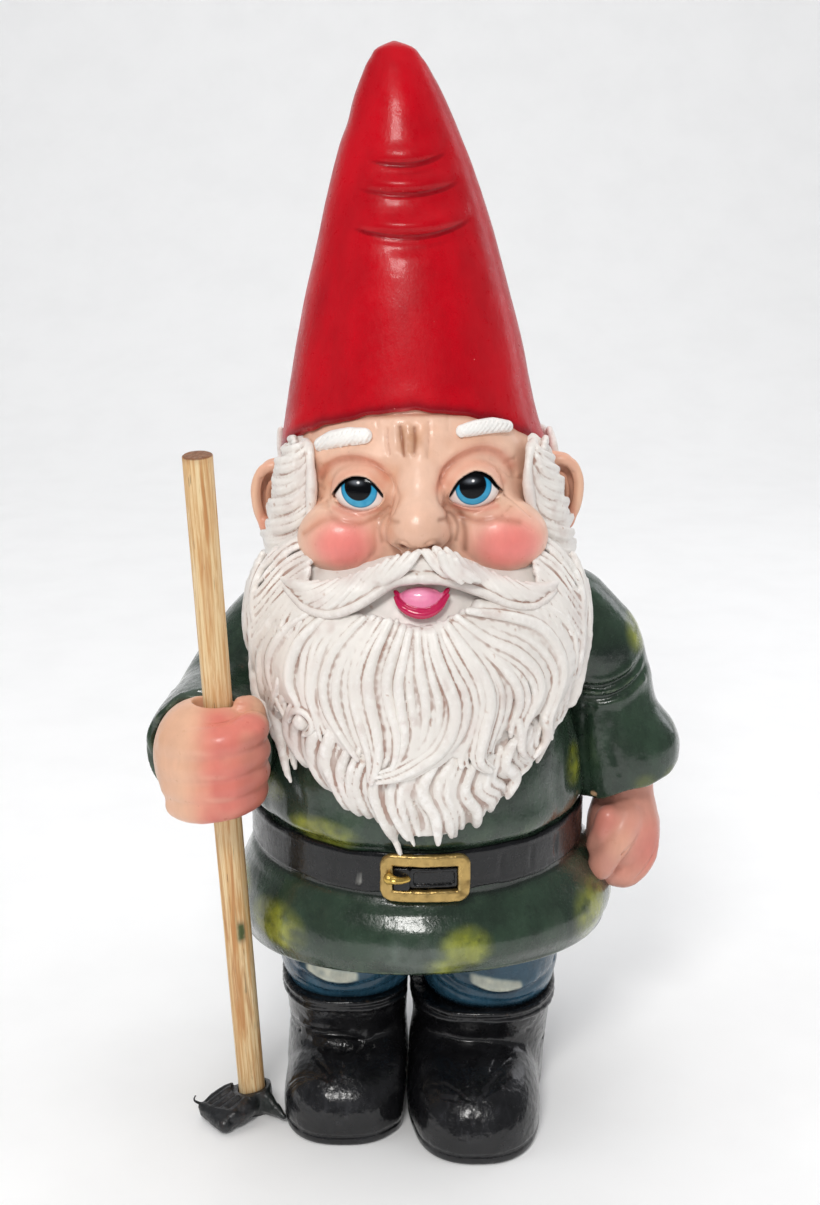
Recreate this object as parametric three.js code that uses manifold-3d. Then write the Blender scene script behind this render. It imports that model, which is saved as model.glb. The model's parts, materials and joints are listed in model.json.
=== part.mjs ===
// Standing garden gnome, a painted resin casting with a loose wooden-handled mattock.
// Millimetres, +Z up. The figure faces -Y, its right hand is on the -X side.
// The origin is at the centre of the whole object's footprint, on the surface it stands on.
//
// The casting is split along its sculpted and painted borders, so each hat, hair, garment and
// limb is a solid of its own. Neighbours keep a gap of GAP. The handle is loose in the bore of
// the right fist: it lifts along its own axis, and the mattock head turns about that axis.

import * as THREE from "three";
import { mergeVertices } from "three/addons/utils/BufferGeometryUtils.js";
import Module from "manifold-3d";

const wasm = await Module();
wasm.setup();

// ---- driving dimensions ------------------------------------------------------------------
const GAP = 0.35; // clearance between neighbouring sections of the casting
const SHELL = 6; // wall of the hollow casting
const HEIGHT = 488; // tip of the hat
const BRIM_Z = 316.5; // height of the brim plane on the axis
const BRIM_SLOPE = 0.47; // the brim plane falls towards the back
const BELT_Z = [129, 149]; // lower and upper edge of the belt
const BELT_THICKNESS = 3;
const HEM_Z = 79; // hem at the sides and back
const HEM_RISE = 12; // the hem stands this much higher at the front
const HEM_TILT = 0.045; // and a little higher on the left side than on the right
const FLOOR_Z = [92, 98]; // the underside of the skirt closes the casting at the legs
const STAFF_RADIUS = 6.35; // half-inch dowel
const STAFF_BOTTOM = new THREE.Vector3(-78.5, -44.1, 3.2);
const STAFF_TOP = new THREE.Vector3(-90.1, -75, 326);
const FIST_BORE_RADIUS = 7.6; // the dowel is loose in the fist
const SOCKET_BORE_RADIUS = 6.65;

// ---- helpers -----------------------------------------------------------------------------
function solidOf(geometry) {
  const g = geometry.index ? geometry.clone() : geometry.clone();
  for (const k of Object.keys(g.attributes)) if (k !== "position") g.deleteAttribute(k);
  const merged = mergeVertices(g, 1e-3);
  const index = new Uint32Array(merged.index.array);
  const kept = [];
  for (let i = 0; i < index.length; i += 3) {
    const [a, b, c] = [index[i], index[i + 1], index[i + 2]];
    if (a !== b && b !== c && a !== c) kept.push(a, b, c);
  }
  return new wasm.Manifold(
    new wasm.Mesh({
      numProp: 3,
      vertProperties: new Float32Array(merged.attributes.position.array),
      triVerts: new Uint32Array(kept),
    }),
  );
}

// Outward-facing solid, whichever way round the warp left the faces.
function closed(geometry) {
  const solid = solidOf(geometry);
  if (solid.volume() > 0) return solid;
  const flipped = geometry.clone();
  const index = flipped.index.array;
  for (let i = 0; i < index.length; i += 3) [index[i], index[i + 1]] = [index[i + 1], index[i]];
  return solidOf(flipped);
}

function warp(geometry, move) {
  const p = geometry.attributes.position;
  const v = new THREE.Vector3();
  for (let i = 0; i < p.count; i++) {
    v.fromBufferAttribute(p, i);
    move(v);
    p.setXYZ(i, v.x, v.y, v.z);
  }
  return geometry;
}

// A stack of rings [z, centre x, centre y, half width, front depth, back depth].
function loft(rings, grow = 0, segments = 30, after = null) {
  const n = rings.length - 1;
  const g = new THREE.CylinderGeometry(1, 1, 1, segments, n);
  g.rotateX(Math.PI / 2);
  return closed(
    warp(g, (v) => {
      const i = Math.round((v.z + 0.5) * n);
      const [z, cx, cy, rx, front, back] = rings[i];
      const end = i === 0 ? -grow : i === n ? grow : 0;
      v.set(
        cx + v.x * (rx + grow),
        cy + v.y * ((v.y < 0 ? front : back) + grow),
        z + end,
      );
      if (after) after(v);
    }),
  );
}

// A round body along a curve through points [x, y, z, radius].
function limb(points, grow = 0, segments = 18, steps = 12) {
  const curve = new THREE.CatmullRomCurve3(
    points.map(([x, y, z]) => new THREE.Vector3(x, y, z)),
  );
  const frames = curve.computeFrenetFrames(steps, false);
  const radius = (t) => {
    const u = t * (points.length - 1);
    const i = Math.min(points.length - 2, Math.floor(u));
    return points[i][3] + (points[i + 1][3] - points[i][3]) * (u - i);
  };
  const g = new THREE.CylinderGeometry(1, 1, 1, segments, steps);
  g.rotateX(Math.PI / 2);
  return closed(
    warp(g, (v) => {
      const i = Math.round((v.z + 0.5) * steps);
      const t = i / steps;
      const at = curve.getPoint(t);
      const r = radius(t) + grow;
      const end = i === 0 ? -grow : i === steps ? grow : 0;
      at.addScaledVector(frames.normals[i], v.x * r);
      at.addScaledVector(frames.binormals[i], v.y * r);
      at.addScaledVector(frames.tangents[i], end);
      v.copy(at);
    }),
  );
}

function ellipsoid([x, y, z], [rx, ry, rz], grow = 0, turn = [0, 0, 0], detail = 16) {
  const g = new THREE.SphereGeometry(1, detail, Math.round(detail * 0.6));
  g.rotateX(Math.PI / 2);
  g.scale(rx + grow, ry + grow, rz + grow);
  g.rotateX(turn[0]).rotateY(turn[1]).rotateZ(turn[2]);
  g.translate(x, y, z);
  return closed(g);
}

function block([x0, y0, z0], [x1, y1, z1]) {
  const g = new THREE.BoxGeometry(x1 - x0, y1 - y0, z1 - z0);
  g.translate((x0 + x1) / 2, (y0 + y1) / 2, (z0 + z1) / 2);
  return closed(g);
}

// The space on one side of the brim plane: above it, or below it.
function brimSide(above, offset = 0) {
  const g = new THREE.BoxGeometry(400, 400, 400);
  return closed(
    warp(g, (v) => {
      const plane = BRIM_Z + offset - BRIM_SLOPE * v.y;
      const low = v.z < 0;
      v.z = above ? (low ? plane : 700) : low ? -100 : plane;
    }),
  );
}

function rod(from, to, radius, segments = 24) {
  const length = from.distanceTo(to);
  const g = new THREE.CylinderGeometry(radius, radius, length, segments, 1);
  g.applyQuaternion(
    new THREE.Quaternion().setFromUnitVectors(
      new THREE.Vector3(0, 1, 0),
      to.clone().sub(from).normalize(),
    ),
  );
  const mid = from.clone().add(to).multiplyScalar(0.5);
  g.translate(mid.x, mid.y, mid.z);
  return closed(g);
}

const union = (...solids) => solids.reduce((a, b) => a.add(b));
const cut = (solid, ...tools) => tools.reduce((a, b) => a.subtract(b), solid);
const largest = (solid) =>
  solid.decompose().reduce((a, b) => (b.volume() > a.volume() ? b : a));

const group = new THREE.Group();
const figure = new THREE.Group();
const tool = new THREE.Group();
group.add(figure, tool);

function piece(parent, name, solid, colour, roughness, metalness = 0) {
  const mesh = largest(solid).getMesh();
  const n = mesh.numProp;
  const count = mesh.vertProperties.length / n;
  const position = new Float32Array(count * 3);
  for (let i = 0; i < count; i++)
    position.set(mesh.vertProperties.subarray(i * n, i * n + 3), i * 3);
  const geometry = new THREE.BufferGeometry();
  geometry.setAttribute("position", new THREE.BufferAttribute(position, 3));
  geometry.setIndex(new THREE.BufferAttribute(mesh.triVerts, 1));
  geometry.computeVertexNormals();
  const made = new THREE.Mesh(
    geometry,
    new THREE.MeshStandardMaterial({ color: colour, roughness, metalness }),
  );
  made.name = name;
  parent.add(made);
}

// ---- hat: a leaning cone, hollow, cut by the sloping brim plane --------------------------
const HAT = [
  // z, cx, cy, half width, front, back
  [262, 0, 4, 67, 63.5, 65],
  [312, -1.3, 4, 60.3, 57.5, 58.5],
  [334, -2.8, 4.5, 55.8, 53.5, 54],
  [361, -3.2, 5.5, 50.4, 48.5, 48.5],
  [387, -4.2, 6.5, 44.0, 43, 43],
  [413, -5.2, 7.5, 37.0, 36, 36],
  [439, -6.8, 8, 29.4, 29, 29],
  [458, -7.9, 8, 22.4, 22.4, 22.4],
  [473, -8.8, 8, 15.8, 16, 16],
  [482, -9.5, 8, 10.4, 10.4, 10.4],
  [HEIGHT, -10.1, 8, 3.2, 3.2, 3.2],
];
const hatOuter = (grow) => loft(HAT, grow, 24);
const hatInner = (grow) =>
  loft(
    HAT.slice(0, 8).map(([z, cx, cy, a, b, c]) => [
      z - (z > 300 ? 6 : 0), cx, cy, a - SHELL - grow, b - SHELL - grow, c - SHELL - grow,
    ]),
    0,
    24,
  );
const hat = (grow = 0) =>
  cut(hatOuter(grow), hatInner(grow), brimSide(false, -grow));

// ---- head: skin of the face, hollow, open at the neck ------------------------------------
const HEAD = [
  [236, 0, 2, 40, 38, 43],
  [256, 0, 2, 53, 54, 53],
  [272, 0, 2, 56.5, 58, 56],
  [288, 0, 2, 57.5, 59, 57],
  [304, 0, 2, 57.2, 57.5, 57],
  [322, -1, 2.5, 56, 55.5, 55.5],
  [340, -2, 3.5, 50.5, 51.5, 51],
  [358, -3, 5, 38, 38, 38],
  [366, -3, 5, 24, 24, 24],
];
const NOSE = [[0.5, -60, 291], [15, 15, 12.5]];
const CHEEK = [[32, -44, 283], [23, 18, 16]];
const skull = (grow = 0) =>
  union(
    loft(HEAD, grow, 22),
    ellipsoid(NOSE[0], NOSE[1], grow, [0, 0, 0], 12),
    ellipsoid([-CHEEK[0][0], CHEEK[0][1], CHEEK[0][2]], CHEEK[1], grow, [0, 0, 0], 12),
    ellipsoid(CHEEK[0], CHEEK[1], grow, [0, 0, 0], 12),
  );

const EYE = { right: [-25.5, -49.5, 306.5], left: [24.5, -49.5, 307.5] };
const EYE_SIZE = [11.5, 7, 8.5];
const BROW = { right: [-32, -47.5, 327.5, 0.12], left: [28.5, -48.5, 331, -0.08] };
const brow = (side, grow = 0) => {
  const [x, y, z, tilt] = BROW[side];
  return ellipsoid([x, y, z], [14, 8, 5.5], grow, [0, tilt * -1, side === "right" ? -0.45 : 0.4], 12);
};
const eye = (side, grow = 0) => ellipsoid(EYE[side], EYE_SIZE, grow, [0, 0, 0], 14);
const EAR_SIZE = [9, 7, 20];
const ear = (side, grow = 0) =>
  side === "right"
    ? ellipsoid([-66, 5, 291], EAR_SIZE, grow, [0.12, -0.12, 0.5], 12)
    : ellipsoid([66.5, 5, 294], EAR_SIZE, grow, [0.12, 0.12, -0.5], 12);

// ---- tunic: torso and flared skirt in one hollow wall ------------------------------------
const TUNIC = [
  [HEM_Z, 3.6, 0, 88, 84, 84],
  [89, 3.8, 0, 90.6, 87, 86],
  [98, 3.6, 0, 90.6, 87.2, 86.2],
  [110, 2.7, 0, 87.6, 84.6, 83.6],
  [121, 1.4, 0, 82.2, 79.6, 78.8],
  [128.5, 0.4, 0, 78.2, 76.4, 75.6],
  [148.5, 0.3, 0, 77, 76.6, 75],
  [154.5, 0.3, 0, 79.2, 79.4, 76.5],
  [168, 0.3, 0, 78, 79.6, 75.6],
  [190, 0.5, 0.5, 73.6, 75, 72],
  [212, 0.9, 1.5, 67, 65, 66],
  [230, 1.4, 3, 57, 52, 56],
  [242, 1.5, 4, 44, 40, 44],
];
const hemLine = (v) => {
  const fade = Math.max(0, Math.min(1, (120 - v.z) / 41));
  const front = Math.min(1, Math.max(0, -v.y) / 84);
  v.z += fade * (HEM_RISE * front ** 2 + HEM_TILT * v.x);
};
const tunicSolid = (grow = 0) => loft(TUNIC, grow, 26, hemLine);
// The casting's hollow is open at the neck and closed below by the skirt's underside.
const tunicHollow = loft(
  [
    [FLOOR_Z[1], 3, 0, 78, 75, 74],
    [118, 0.8, 0, 74, 71.5, 70.5],
    [150, 0.3, 0, 71.5, 71, 69],
    [190, 0.5, 0.5, 67.6, 69, 66],
    [214, 0.9, 1.5, 60.5, 58.5, 59.5],
    [234, 1.4, 3, 49, 44, 48],
    [256, 1.5, 4, 34, 32, 34],
  ],
  0,
  22,
);
const skirtRecess = loft(
  [
    [40, 3.6, 0, 79, 75, 75],
    [FLOOR_Z[0], 3.6, 0, 80, 77, 76],
  ],
  0,
  22,
);

const beltRing = (grow = 0) =>
  loft(
    [
      [BELT_Z[0] + 0.6, 0.3, 0, 76 + BELT_THICKNESS + 1.6, 75.4 + BELT_THICKNESS + 1.6, 73.6 + BELT_THICKNESS + 1.6],
      [BELT_Z[1] - 0.6, 0.3, 0, 76 + BELT_THICKNESS + 1.6, 75.4 + BELT_THICKNESS + 1.6, 73.6 + BELT_THICKNESS + 1.6],
    ],
    grow,
    26,
  );

// ---- arms and hands ----------------------------------------------------------------------
const SLEEVE_RIGHT = [
  [-46, 6, 230, 21], [-60, 6, 226, 24.5], [-72, 6, 212, 24.5], [-81, 2, 198, 24.5],
  [-86.5, -12, 190.5, 25], [-90, -32, 188, 26], [-93, -52, 187.5, 27.5],
];
const SLEEVE_LEFT = [
  [52, 6, 231, 20], [68, 5, 230, 24], [81, 4, 216, 23.5], [89, 3, 196, 23],
  [95, 2, 178, 23.5], [99, 0, 162, 24], [101, -3, 147.5, 20],
];
const sleeve = (side, grow = 0) =>
  limb(side === "right" ? SLEEVE_RIGHT : SLEEVE_LEFT, grow, 16, 9);

const fist = (grow = 0) =>
  union(
    ellipsoid([-91, -67, 191.5], [24.4, 23.5, 27], grow, [0, 0, 0], 18),
    limb([[-90, -34, 188, 15], [-91, -50, 189, 16], [-91, -62, 191, 16]], grow, 12, 3),
  );
const openHand = (grow = 0) =>
  union(
    ellipsoid([98.5, -6, 126], [17, 21, 23.5], grow, [0.1, 0.06, 0.2], 16),
    limb([[100, 0, 160, 12], [100, -3, 146, 14], [99, -5, 130, 13]], grow, 12, 3),
  );

// ---- legs --------------------------------------------------------------------------------
const leg = (side, grow = 0) => {
  const right = side === "right";
  const cx = right ? -33 : 34.2;
  return loft(
    [
      [44, cx, -8, 26, 32, 31],
      [54, cx, -8, 29.5, 36, 34],
      [63, cx, -8, 32, 41, 37],
      [74, cx, -7, 33.4, 43, 40],
      [82, cx, -6, 35.5, 43, 42],
      [FLOOR_Z[0] - GAP, cx, -6, 35.5, 43, 42],
    ],
    grow,
    18,
  );
};
const bootShape = (side, grow = 0) => {
  const right = side === "right";
  const cx = right ? -31.7 : 32.8;
  const toe = right ? [-32.4, -36, 13] : [29, -43, 13];
  const shaft = loft(
    [
      [1, cx, -8, 28, 31, 38],
      [14, cx, -8, 29, 32, 38],
      [30, cx, -8, 31.2, 33, 36],
      [42, cx, -8, 31.2, 36, 35],
      [51, cx, -8, 32, 40, 36],
      [56, cx, -8, 32, 41, 37],
    ],
    grow,
    18,
  );
  const foot = ellipsoid(toe, [right ? 29.8 : 28.9, right ? 41 : 48, 25], grow, [0, 0, 0], 18);
  const heel = ellipsoid([cx, 12, 11], [28.5, 24, 18], grow, [0, 0, 0], 14);
  return union(shaft, foot, heel);
};
const underground = block([-200, -200, -100], [200, 200, 0]);
const boot = (side) =>
  cut(
    bootShape(side),
    underground,
    leg("right", GAP),
    leg("left", GAP),
    side === "right" ? block([-0.6, -200, -50], [200, 200, 200]) : block([-200, -200, -50], [-0.2, 200, 200]),
  );

// ---- staff and mattock head --------------------------------------------------------------
const staffAxis = STAFF_TOP.clone().sub(STAFF_BOTTOM).normalize();
const bore = (radius, from = -40, to = 420) =>
  rod(
    STAFF_BOTTOM.clone().addScaledVector(staffAxis, from),
    STAFF_BOTTOM.clone().addScaledVector(staffAxis, to),
    radius,
    28,
  );
const staff = rod(STAFF_BOTTOM, STAFF_TOP, STAFF_RADIUS, 28);

// The mattock head is built square to the handle: a broad adze bent forward to one side, a
// pick to the other. Each arm's underside rises outwards, so it clears the ground as it turns.
const ADZE_TURN = (222 * Math.PI) / 180;
const PICK_TURN = (318 * Math.PI) / 180;
const upright = new THREE.Quaternion().setFromUnitVectors(new THREE.Vector3(0, 0, 1), staffAxis);
const HEAD_BASE = -2.2; // the head's underside below the handle's end, along the handle
function arm(turn, rings) {
  // rings of [distance from the handle's axis, half width, underside, top]
  const n = rings.length - 1;
  const g = new THREE.BoxGeometry(1, 1, 1, n, 2, 2);
  const c = Math.cos(turn), s = Math.sin(turn);
  return closed(
    warp(g, (v) => {
      const [along, half, low, high] = rings[Math.round((v.x + 0.5) * n)];
      const soft = Math.abs(v.y) > 0.4 && Math.abs(v.z) > 0.4 ? 0.86 : 1;
      const across = v.y * 2 * half * soft;
      v.set(along * c - across * s, along * s + across * c,
        HEAD_BASE + (v.z < -0.1 ? low : v.z > 0.1 ? high : (low + high) / 2));
      v.applyQuaternion(upright).add(STAFF_BOTTOM);
    }),
  );
}
const mattock = cut(
  union(
    arm(ADZE_TURN, [
      [-7, 6, 0, 12.5], [4, 9, 0, 13], [11, 10.4, 1.2, 11.5], [17, 11.8, 1.9, 9], [22.5, 12.2, 2.5, 6.6], [25, 10.6, 2.9, 5.2],
    ]),
    arm(PICK_TURN, [[-4, 5, 0, 11.5], [6, 4.6, 0.2, 13.5], [13, 2.8, 1.4, 9.5], [21.6, 0.9, 2.8, 4.4]]),
    rod(
      STAFF_BOTTOM.clone().addScaledVector(staffAxis, HEAD_BASE),
      STAFF_BOTTOM.clone().addScaledVector(staffAxis, 12),
      8.6,
      20,
    ),
  ),
  bore(SOCKET_BORE_RADIUS, -GAP, 60),
);

// ---- beard, moustache and hair -----------------------------------------------------------
const BEARD = [
  [157, 4, -70, 15, 17, 10],
  [172, 2, -60, 39, 29, 22],
  [190, 0, -49, 56, 41, 36],
  [212, 0, -38, 68, 52, 44],
  [236, 0, -30, 76.5, 56, 43],
  [256, 0, -25, 76, 53, 39],
  [274, 0, -20, 70, 46, 32],
  [286, 0, -18, 64, 36, 26],
];
const moustacheShape = (grow = 0) =>
  union(
    ellipsoid([-17, -70, 271.5], [22, 9, 8.5], grow, [0, -0.32, -0.28], 12),
    ellipsoid([17, -70, 271.5], [22, 9, 8.5], grow, [0, 0.32, 0.28], 12),
    ellipsoid([-37, -61, 263.5], [15, 9, 8], grow, [0, -0.25, -0.6], 12),
    ellipsoid([37, -61, 263.5], [15, 9, 8], grow, [0, 0.25, 0.6], 12),
  );
const mouthShape = (grow = 0) =>
  ellipsoid([1, -74.5, 259], [12, 7, 6.5], grow, [0, 0, 0], 14);

const hairShell = (grow = 0, thick = 9) =>
  loft(HEAD.map(([z, cx, cy, a, b, c]) => [z, cx, cy, a + thick + grow, b + thick + grow, c + thick + grow]), 0, 22);
const belowBrim = (offset = 0) => brimSide(false, offset - GAP * 1.3);

const sideHair = (side) => {
  const s = side === "right" ? -1 : 1;
  const zone = side === "right"
    ? block([-80, -36, 276], [-42, -2.5, 340])
    : block([42, -36, 276], [80, -2.5, 340]);
  return cut(hairShell(0, 8).intersect(zone).intersect(belowBrim()), skull(GAP), ear(side, GAP));
};
const backHair = () =>
  cut(
    hairShell(0, 8).intersect(block([-80, -2, 243], [80, 90, 330])).intersect(belowBrim()),
    skull(GAP), ear("right", GAP), ear("left", GAP), tunicSolid(GAP),
    sleeve("right", GAP), sleeve("left", GAP),
  );

// ---- the pieces --------------------------------------------------------------------------
const RED = 0xb8101c, SKIN = 0xe0a583, WHITE = 0xeae4da, GREEN = 0x2c3f33, BLACK = 0x0d0d10;
const DENIM = 0x2f4f68, GOLD = 0xb99a4e, WOOD = 0xd9b684, IRON = 0x1b1d1f;

const skullCut = cut(
  skull(),
  hat(GAP),
  eye("right", GAP), eye("left", GAP),
  tunicSolid(GAP),
  loft(HEAD.map(([z, cx, cy, a, b, c], i) => [z - (i === 0 ? 20 : 0) - (i > 6 ? 6 : 0), cx, cy, a - SHELL - (i > 6 ? 2 : 0), b - SHELL - (i > 6 ? 2 : 0), c - SHELL - (i > 6 ? 2 : 0)]), 0, 20),
);

piece(figure, "hat", hat(), RED, 0.28);
piece(figure, "head", skullCut, SKIN, 0.4);
for (const side of ["right", "left"]) {
  piece(figure, "ear_" + side, cut(ear(side), skull(GAP), hat(GAP)), SKIN, 0.4);
  piece(figure, "eye_" + side, eye(side), 0xf4f4f2, 0.1);
  piece(figure, "eyebrow_" + side, cut(brow(side), skull(GAP), hat(GAP)), WHITE, 0.45);
  piece(figure, "side_hair_" + side, sideHair(side), WHITE, 0.45);
}
piece(figure, "back_hair", backHair(), WHITE, 0.45);
piece(figure, "moustache", cut(moustacheShape(), skull(GAP), mouthShape(GAP)), WHITE, 0.45);
piece(figure, "mouth", cut(mouthShape(), skull(GAP)), 0xd6336c, 0.2);
piece(
  figure,
  "beard",
  cut(
    loft(BEARD, 0, 24),
    skull(GAP), tunicSolid(GAP), moustacheShape(GAP), mouthShape(GAP),
    sleeve("right", GAP), sleeve("left", GAP), ear("right", GAP), ear("left", GAP),
    block([-90, -2 + GAP - 0.6, 200], [90, 60, 300]),
    block([-90, -60, 275.6], [90, 10, 300]),
  ),
  WHITE,
  0.45,
);
piece(figure, "tunic", cut(tunicSolid(), tunicHollow, skirtRecess), GREEN, 0.3);
piece(
  figure,
  "belt",
  cut(beltRing(), tunicSolid(GAP), bore(STAFF_RADIUS + 3), block([-200, -200, 90], [200, 200, BELT_Z[0]]), block([-200, -200, BELT_Z[1]], [200, 200, 190])),
  BLACK,
  0.3,
);
for (const side of ["right", "left"]) {
  const handCut = side === "right" ? fist(GAP) : openHand(GAP);
  piece(figure, "sleeve_" + side, cut(sleeve(side), tunicSolid(GAP), handCut, beltRing(GAP), skull(GAP)), GREEN, 0.3);
}
piece(figure, "hand_right", cut(fist(), bore(FIST_BORE_RADIUS)), SKIN, 0.4);
piece(figure, "hand_left", cut(openHand(), tunicSolid(GAP), beltRing(GAP)), SKIN, 0.4);

// Buckle: a rectangular frame bent round the belt, with its prong across the left bar.
const buckleShape = (x0, x1, z0, z1, depth, grow = 0) => {
  const g = new THREE.BoxGeometry(x1 - x0 + 2 * grow, 1, z1 - z0 + 2 * grow, 10, 1, 4);
  const cx = (x0 + x1) / 2, cz = (z0 + z1) / 2;
  return closed(
    warp(g, (v) => {
      const x = v.x + cx;
      const arc = 81 * (1 - Math.cos((x - 1.5) / 81));
      v.set(x, (v.y < 0 ? -depth - grow : -79.9 + grow * 0) + arc, v.z + cz);
    }),
  );
};
const buckleFrame = cut(
  buckleShape(-16.8, 23.6, 127.6, 150.4, 85.5),
  buckleShape(-12, 18.4, 132.9, 145.2, 92),
  beltRing(GAP),
  tunicSolid(GAP),
);
piece(figure, "belt_buckle", buckleFrame, GOLD, 0.35, 0.7);
piece(
  figure,
  "buckle_prong",
  cut(limb([[-15.6, -86.4, 139.8, 1.9], [-11, -86.6, 140, 1.9], [-4, -84.2, 139.6, 1.5]], 0, 12, 8), buckleShape(-16.8, 23.6, 127.6, 150.4, 85.5 + GAP).subtract(buckleShape(-12 + GAP, 18.4, 132.9, 145.2, 95)), beltRing(GAP)),
  GOLD,
  0.35,
  0.7,
);

piece(figure, "trousers", union(leg("right"), leg("left")), DENIM, 0.35);
for (const side of ["right", "left"]) piece(figure, "boot_" + side, boot(side), BLACK, 0.2);

piece(tool, "staff", staff, WOOD, 0.6);
piece(tool, "mattock_head", mattock, IRON, 0.45);

// The origin is the centre of the footprint, on the ground.
const extent = new THREE.Box3().setFromObject(group, true);
group.position.set(-(extent.min.x + extent.max.x) / 2, -(extent.min.y + extent.max.y) / 2, -extent.min.z);

export default group;
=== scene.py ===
# The looks of the garden gnome: a varnished, hand-painted resin casting with a bare wooden
# dowel and a small black mattock head. Shapes are worked out in millimetres in the figure's
# own axes, then moved into the row's frame, in metres.

import json
import math

import bpy
import numpy as np
import openvdb as vdb
from mathutils import Matrix, Quaternion, Vector


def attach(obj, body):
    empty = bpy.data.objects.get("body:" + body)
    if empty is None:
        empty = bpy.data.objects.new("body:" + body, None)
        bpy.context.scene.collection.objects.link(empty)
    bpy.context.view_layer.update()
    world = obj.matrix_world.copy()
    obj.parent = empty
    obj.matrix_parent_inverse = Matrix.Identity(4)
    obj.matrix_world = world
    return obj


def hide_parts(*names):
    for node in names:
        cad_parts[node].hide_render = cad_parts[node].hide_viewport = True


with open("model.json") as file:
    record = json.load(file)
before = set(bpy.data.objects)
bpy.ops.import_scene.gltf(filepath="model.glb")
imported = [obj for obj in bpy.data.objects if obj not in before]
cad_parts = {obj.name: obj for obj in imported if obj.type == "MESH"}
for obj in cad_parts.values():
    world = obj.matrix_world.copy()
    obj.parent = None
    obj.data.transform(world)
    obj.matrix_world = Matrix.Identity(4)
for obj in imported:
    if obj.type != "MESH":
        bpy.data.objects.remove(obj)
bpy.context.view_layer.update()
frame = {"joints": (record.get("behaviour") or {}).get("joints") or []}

F32 = np.float32
_turn = next(j for j in frame["joints"] if j["name"] == "tool_turn")
STAFF_BOTTOM = np.array([-78.5, -44.1, 3.2])
STAFF_TOP = np.array([-90.1, -75.0, 326.0])
STAFF_DIR = (STAFF_TOP - STAFF_BOTTOM) / np.linalg.norm(STAFF_TOP - STAFF_BOTTOM)
OFF = np.array(_turn["pos_m"]) * 1000 - STAFF_BOTTOM
ONLY = None  # a set of piece names while trying things


# ---------------------------------------------------------------------------------------
# distance fields on a grid
# ---------------------------------------------------------------------------------------
def smin(a, b, k):
    if k <= 0:
        return np.minimum(a, b)
    h = np.maximum(k - np.abs(a - b), 0) / k
    return np.minimum(a, b) - h * h * (k * 0.25)


def smax(a, b, k):
    return -smin(-a, -b, k)


def rot(turn):
    """3x3 matrix for rotations about x, then y, then z, in degrees."""
    ax, ay, az = (math.radians(t) for t in turn)
    cx, sx, cy, sy, cz, sz = math.cos(ax), math.sin(ax), math.cos(ay), math.sin(ay), math.cos(az), math.sin(az)
    rx = np.array([[1, 0, 0], [0, cx, -sx], [0, sx, cx]])
    ry = np.array([[cy, 0, sy], [0, 1, 0], [-sy, 0, cy]])
    rz = np.array([[cz, -sz, 0], [sz, cz, 0], [0, 0, 1]])
    return rz @ ry @ rx


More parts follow.
